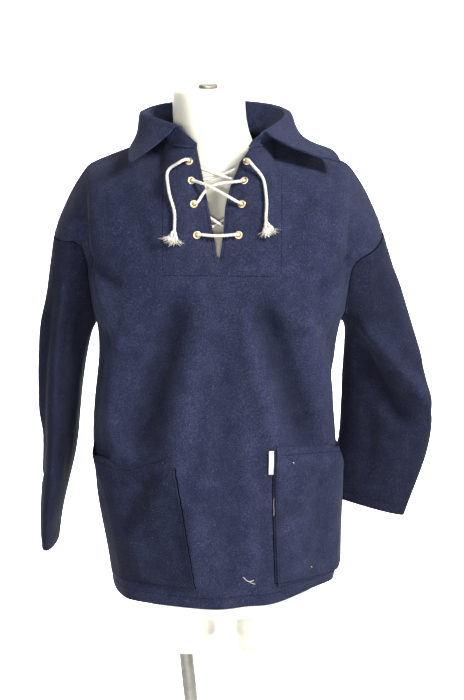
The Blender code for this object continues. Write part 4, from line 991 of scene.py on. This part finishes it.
def armhole_line(side):
    middle = np.array(ARMHOLE_MIDDLE[side])
    rim = near_panels(f"sleeve_{SIDE_NAME[side]}", 0.0012)
    rim = rim[rim[:, 2] > UNDER_ARM] - middle
    turn = np.degrees(np.arctan2(rim[:, 1], rim[:, 2])) % 360
    line = []
    for at in range(0, 360, 9):
        column = rim[np.abs(turn - at) < 5]
        if len(column):
            reach = np.linalg.norm(column, axis=1)
            line.append(column[reach > reach.max() - 0.001].mean(axis=0))
    line = np.array(line + line[:1])
    inwards = line / np.linalg.norm(line, axis=1)[:, None] * (SEAM_DEPTH + 0.0002)
    return line - inwards + middle


for side in (LEFT, RIGHT):
    name = f"armhole_thread_and_shade_{SIDE_NAME[side]}"
    line = armhole_line(side)
    print(name, "points", len(line))
    seam = thread_along(name, smooth_line(line, 0.005), ARMHOLE_THREAD_AND_SHADE, thread_and_shadow)

# %% [markdown]
# The label tab is a folded bit of plain white woven tape, a little narrower than its solid.

# %% Label tab
label = copy_of("label", "bare_tape_tab", tape)
refine(label, 2)
fold_body(label, "front")
set_points(label, points_of(label) * (0.8, 1, 1) + (0.0155, -0.0016, 0.004))
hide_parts("label")

# %% [markdown]
# The stitches come last, because they lie on the folded cloth. A row of them follows a line that is
# cast onto the finished surface. One stitch is a stretched eight-sided bead: there are hundreds, and
# nobody sees more of each.

# %% Stitches
STITCH_PITCH, STITCH_LONG, STITCH_THICK = 0.0040, 0.0032, 0.00070
surface = {name: tree_of(obj) for name, obj in body.items()}
for side in (LEFT, RIGHT):
    surface[f"sleeve_{SIDE_NAME[side]}"] = tree_of(sleeves[side])


def first_hit(trees, start, way):
    """The place that a ray meets first and the surface's normal there, or None."""
    hits = [tree.ray_cast(start, way) for tree in trees]
    hits = [hit for hit in hits if hit[0] is not None]
    return min(hits, key=lambda hit: hit[3])[:2] if hits else None


def straight_onto(trees, x, z):
    return first_hit(trees, Vector((x, -1, z)), Vector((0, 1, 0)))


def inward_onto(trees, middle, turn, z, reach=0.4):
    """The first place met on the way in to the middle, from the side that turn names."""
    way = Vector((math.sin(turn), -math.cos(turn), 0))
    return first_hit(trees, Vector((middle[0], middle[1], z)) + way * reach, -way)


def stitch_row(name, hits):
    """Stitches along the places that were hit. A hit is a place and the surface's normal there."""
    hits = [hit for hit in hits if hit]
    line = np.array([tuple(place + normal * 0.0001) for place, normal in hits])
    normals = np.array([tuple(normal) for _, normal in hits])
    along = np.concatenate([[0], np.cumsum(np.linalg.norm(np.diff(line, axis=0), axis=1))])
    points, faces = [], []
    for at in np.arange(STITCH_PITCH, along[-1] - STITCH_PITCH, STITCH_PITCH):
        ends = np.array([[np.interp(at + d, along, line[:, k]) for k in range(3)]
                         for d in (-STITCH_LONG / 2, STITCH_LONG / 2)])
        if np.linalg.norm(ends[1] - ends[0]) < STITCH_LONG * 0.6:
            continue
        out = np.array([np.interp(at, along, normals[:, k]) for k in range(3)])
        across = np.cross(ends[1] - ends[0], out)
        across *= STITCH_THICK / np.linalg.norm(across)
        out *= STITCH_THICK / np.linalg.norm(out)
        middle = ends.mean(axis=0)
        base = len(points)
        points += [ends[0], middle + across, middle + out, middle - across, middle - out, ends[1]]
        for i in range(4):
            k = (i + 1) % 4
            faces.append((base, base + 1 + k, base + 1 + i))
            faces.append((base + 5, base + 1 + i, base + 1 + k))
    mesh = bpy.data.meshes.new(name)
    mesh.from_pydata([tuple(p) for p in points], [], faces)
    row = put(name, mesh, thread_and_shadow, smooth=False)
    return len(points) // 6


def edge_by_turn(points, middle, top=False):
    """A function that gives the height of the lowest (or highest) edge at each turn round the middle."""
    turns = np.degrees(np.arctan2(points[:, 0] - middle[0], middle[1] - points[:, 1])) % 360
    at, height = [], []
    for start in range(0, 360, 6):
        chosen = points[(turns >= start - 1) & (turns < start + 7), 2]
        if len(chosen):
            at.append(start + 3)
            height.append(chosen.max() if top else chosen.min())
    return lambda turn: float(np.interp(math.degrees(turn) % 360, at, height, period=360))


# %% [markdown]
# The hem and the cuffs are turned up and stitched all the way round. The rows follow the lowest edge
# of the cloth, wherever its folds have taken it.

# %% Hem and cuff stitches
BODY_MIDDLE = (0.003, 0.0)
HEM_TURNING, CUFF_TURNING = 0.019, 0.020
count = 0
hem_edge = edge_by_turn(np.concatenate([points_of(body["front"]), points_of(body["back"])]), BODY_MIDDLE)
panels = [surface["front"], surface["back"]]
turns = np.linspace(0, 2 * math.pi, 260)
count += stitch_row("hem_stitches", [inward_onto(panels, BODY_MIDDLE, turn, hem_edge(turn) + HEM_TURNING)
                                     for turn in turns])
for side in (LEFT, RIGHT):
    node = f"sleeve_{SIDE_NAME[side]}"
    _, x, y = SLEEVE_CORE[side][-1]
    cuff_edge = edge_by_turn(points_of(sleeves[side]), (side * x, y))
    count += stitch_row(f"cuff_stitches_{SIDE_NAME[side]}", [
        inward_onto([surface[node]], (side * x, y), turn, cuff_edge(turn) + CUFF_TURNING) for turn in turns])

# %% [markdown]
# The facing is stitched down as a rectangle that shows outside. Another row runs along both edges of
# the slit: at each height, the search goes out from the slit's middle until it meets cloth.

# %% Facing and slit stitches
FACING_LINE = ((-0.086, 1.462), (-0.084, 1.300), (0.106, 1.298), (0.108, 1.455))
for number, ((x0, z0), (x1, z1)) in enumerate(zip(FACING_LINE, FACING_LINE[1:]), start=1):
    count += stitch_row(f"facing_stitches_{number}", [
        straight_onto([surface["front"]], x0 + (x1 - x0) * t, z0 + (z1 - z0) * t)
        for t in np.linspace(0, 1, 60)])

SLIT_INSET = 0.0045
for side in (LEFT, RIGHT):
    hits = []
    for z in np.linspace(1.325, 1.492, 44):
        for apart in np.arange(0.0, 0.06, 0.001):
            if straight_onto([surface["front"]], SLIT_MIDDLE + side * apart, z):
                hits.append(straight_onto([surface["front"]], SLIT_MIDDLE + side * (apart + SLIT_INSET), z))
                break
    count += stitch_row(f"slit_stitches_{SIDE_NAME[side]}", hits)

# %% [markdown]
# Each pocket is stitched down its inner edge, along its bottom and up its outer edge, and its mouth
# has a row of its own. A dark line in the corner beside the edge is a painted shadow, which makes
# the pocket stand out from the panel.

# %% Pocket stitches
POCKET_INSET, MOUTH_TURNING, POCKET_SHADOW_RADIUS = 0.0035, 0.0125, 0.0009
POCKET_REACH = 0.19  # of the pockets from the body's middle, to turn an inset into an angle
inset = POCKET_INSET / POCKET_REACH
for side in (LEFT, RIGHT):
    node = f"pocket_{SIDE_NAME[side]}"
    points = points_of(body[node])
    turn = np.arctan2(points[:, 0] - BODY_MIDDLE[0], BODY_MIDDLE[1] - points[:, 1])
    levels = np.linspace(points[:, 2].min() + 0.004, 0.985, 34)
    edges = [turn[np.abs(points[:, 2] - level) < 0.006] for level in levels]
    start, end = edges[0].min(), edges[0].max()
    path = [(edge.min() + inset, level) for edge, level in zip(edges[::-1], levels[::-1])]
    path += [(t, levels[0]) for t in np.linspace(start + inset, end - inset, 30)[1:-1]]
    path += [(edge.max() - inset, level) for edge, level in zip(edges, levels)]
    count += stitch_row(f"{node}_stitches", [
        inward_onto([surface[node]], BODY_MIDDLE, t, z) for t, z in path])
    # A painted shadow: a dark tube on the panel, along the foot of the pocket's edge.
    outside = [(t - 2 * inset if t < (start + end) / 2 else t + 2 * inset * 0.62, z) for t, z in path]
    foot = [inward_onto([surface["front"]], BODY_MIDDLE, t, z) for t, z in outside]
    foot = [place + normal * 0.0002 for place, normal in (hit for hit in foot if hit)]
    edge = thread_along(f"{node}_edge_painted_shadow", smooth_line(foot, 0.006), POCKET_SHADOW_RADIUS, thread_and_shadow)
    mouth_edge = edge_by_turn(points, BODY_MIDDLE, top=True)
    across = np.linspace(turn.min() + 2 * inset, turn.max() - 2 * inset, 50)
    count += stitch_row(f"{node}_mouth_stitches", [
        inward_onto([surface[node]], BODY_MIDDLE, t, mouth_edge(t) - MOUTH_TURNING) for t in across])
print("stitches:", count)

# %% [markdown]
# Wool picks up lint. A pale thread clings near the hem, a thinner one by the pocket's edge, and two
# specks lie on the pocket.

# %% Lint
LINT = (  # name, radius, and then the places (across, height) that it passes
    ("lint_thread", 0.0005, (0.046, 0.7965), (0.051, 0.7905), (0.057, 0.788), (0.063, 0.7905)),
    ("lint_thread_tail", 0.00038, (0.055, 0.789), (0.06, 0.785), (0.0655, 0.7835)),
    ("lint_edge", 0.0002, (0.0965, 0.928), (0.0958, 0.916), (0.0966, 0.906), (0.096, 0.8985)),
    ("lint_speck_high", 0.0006, (0.1275, 0.987), (0.1285, 0.9862), (0.1293, 0.9868)),
    ("lint_speck_low", 0.00055, (0.1605, 0.801), (0.1612, 0.7998), (0.162, 0.7994)),
)
for name, radius, *places in LINT:
    hits = [straight_onto([surface["front"], surface["pocket_right"]], x, z) for x, z in places]
    line = smooth_line([place + normal * radius * 1.6 for place, normal in hits], 0.001)
    thread_along(name, line, radius, fray)

# %% [markdown]
# The eyelets are rolled brass. One is turned from a ring and a barrel, and copied to each place.

# %% Eyelets
EYELET_BARREL = 0.0037
EYELET_TUBE = 0.0014
EYELET_REACH = 0.0030


def flat_ring(radius, tube, sides, z, flat):
    """A ring round the eyelet's axis, pressed flat."""
    clear_selection()
    bpy.ops.mesh.primitive_torus_add(major_radius=radius, minor_radius=tube, major_segments=40,
                                     minor_segments=sides, location=(0, 0, z))
    ring = bpy.context.object
    ring.scale.z = flat
    bpy.ops.object.transform_apply(location=True, rotation=True, scale=True)
    return ring


def rolled_eyelet(name):
    """One eyelet at the origin, with its axis along Z: a flattened rim in front, a barrel, a washer."""
    rim = flat_ring(0.0050, EYELET_TUBE, 12, EYELET_REACH - 0.0002, 0.62)
    washer = flat_ring(0.0051, 0.0010, 8, -EYELET_REACH + 0.0002, 0.5)
    clear_selection()
    bpy.ops.mesh.primitive_cylinder_add(radius=EYELET_BARREL + 0.0003, depth=2 * EYELET_REACH, vertices=40,
                                        end_fill_type="NOTHING", location=(0, 0, 0))
    barrel = bpy.context.object
    apply(barrel, "SOLIDIFY", thickness=0.0005, offset=-1)
    only(rim)
    washer.select_set(True)
    barrel.select_set(True)
    bpy.ops.object.join()
    rim.name = name
    bpy.ops.object.shade_smooth_by_angle(angle=math.radians(40))
    return rim


pattern = rolled_eyelet("eyelet_pattern")
for (side, row), (middle, normal) in EYELETS.items():
    name = f"eyelet_{SIDE_NAME[side]}_{row}"
    mesh = pattern.data.copy()
    mesh.name = f"brass_{name}"
    mesh.transform(Matrix.Translation(middle) @ normal.to_track_quat("Z", "Y").to_matrix().to_4x4())
    piece = put(f"brass_{name}", mesh, brass, smooth=False)
    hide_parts(name)
bpy.data.objects.remove(pattern)

# %% [markdown]
# The dress form is a smooth moulded body. The stand's pole, base and neck fitting keep their solids'
# shapes, with their edges rounded.

# %% Form and stand
form = copy_of("form", "dress_form", satin)
refine(form, 1)
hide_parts("form")

for node, name, finish, slot in (("base", "round_base", steel, "brushed_steel"),
                                 ("pole", "stand_pole", steel, "brushed_steel"),
                                 ("neck_fitting", "neck_cap_fitting", bronze, "dark_bronze")):
    piece = copy_of(node, name, finish)
    apply(piece, "BEVEL", width=0.0008, segments=3, limit_method="ANGLE", angle_limit=math.radians(40))
    only(piece)
    bpy.ops.object.shade_smooth_by_angle(angle=math.radians(50))
    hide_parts(node)

# %% [markdown]
# Every piece of cloth is listed with the size that it was cut to, and the list is printed. Where the
# cut isn't a rectangle, its own area is given beside the rectangle that it was cut from.

# %% Cut sizes
BOTH_PANELS = ["front_panel", "back_panel"]
CUTS = (  # piece, the rectangle it was cut from, its own area, how it is held, what it rests on
    (body["front"], (0.66, 0.82), 0.475, "draped", ["dress_form"]),
    (body["back"], (0.62, 0.82), 0.453, "draped", ["dress_form"]),
    (body["facing"], (0.20, 0.225), 0.039, "laid", ["front_panel"]),
    (body["pocket_left"], (0.19, 0.25), 0.0465, "hung", ["front_panel"]),
    (body["pocket_right"], (0.19, 0.25), 0.0470, "hung", ["front_panel"]),
    (sleeves[LEFT], (0.40, 0.55), 0.184, "hung", BOTH_PANELS),
    (sleeves[RIGHT], (0.38, 0.54), 0.164, "hung", BOTH_PANELS),
    (collar, (0.60, 0.145), 0.077, "folded", BOTH_PANELS),
    (label, (0.0105, 0.041), 0.0004, "folded", ["patch_pocket_right"]),
)
for piece, flat, area, held, rests_on in CUTS:
    print(piece.name, "cut", flat, "of", area, "square metres")

# %% [markdown]
# A plain pale floor sweeps up behind the stand, as in a small studio. It is one sheet with its
# corner rounded.

# %% Floor and sweep
SWEEP_NEAR, SWEEP_FAR, SWEEP_HALF, SWEEP_TOP = -10.0, 8.0, 10.0, 9.0
FLOOR_Z = -0.0005

profile = ((SWEEP_NEAR, FLOOR_Z), (SWEEP_FAR, FLOOR_Z), (SWEEP_FAR, FLOOR_Z + SWEEP_TOP))
mesh = bpy.data.meshes.new("floor")
mesh.from_pydata([(x, y, z) for y, z in profile for x in (-SWEEP_HALF, SWEEP_HALF)], [],
                 [(0, 1, 3, 2), (2, 3, 5, 4)])
floor = bpy.data.objects.new("floor", mesh)
scene.collection.objects.link(floor)
apply(floor, "BEVEL", width=1.8, segments=16, limit_method="ANGLE", angle_limit=math.radians(60))
shade_smooth(floor.data)
floor_material, _, _ = new_material("pale_floor", (0.92, 0.92, 0.92), 0.9)
floor.data.materials.append(floor_material)

# %% [markdown]
# The main light is large and soft and stands high at the front right. Two weaker ones fill the left
# and the slit. Two more light only the sweep, which is why the picture is so bright behind the shirt.

# %% Lights
LIGHTS = (  # name, place, what it aims at, size in metres, power in watts
    ("key", (1.9, -1.8, 3.1), (0, 0, 1.15), 0.8, 540),
    ("fill", (-0.9, -2.7, 1.7), (0, 0, 1.3), 0.7, 75),
    ("front", (0.04, -3.1, 1.42), (0, 0, 1.35), 0.35, 85),
    ("sweep_left", (-3.0, 2.6, 3.6), (0, 7.0, 0.6), 2.0, 1100),
    ("sweep_right", (3.0, 2.6, 3.6), (0, 7.0, 0.6), 2.0, 1100),
)
for name, place, aim, size, power in LIGHTS:
    data = bpy.data.lights.new(name, "AREA")
    data.shape = "SQUARE"
    data.size = size
    data.energy = power
    lamp = bpy.data.objects.new(name, data)
    lamp.location = place
    lamp.rotation_euler = (Vector(aim) - Vector(place)).to_track_quat("-Z", "Y").to_euler()
    lamp.visible_camera = False
    scene.collection.objects.link(lamp)

world = bpy.data.worlds.new("surroundings")
world.use_nodes = True
background = world.node_tree.nodes["Background"]
background.inputs["Color"].default_value = (1, 1, 1, 1)
background.inputs["Strength"].default_value = 0.20
scene.world = world
scene.view_settings.view_transform = "Standard"
scene.view_settings.look = "None"
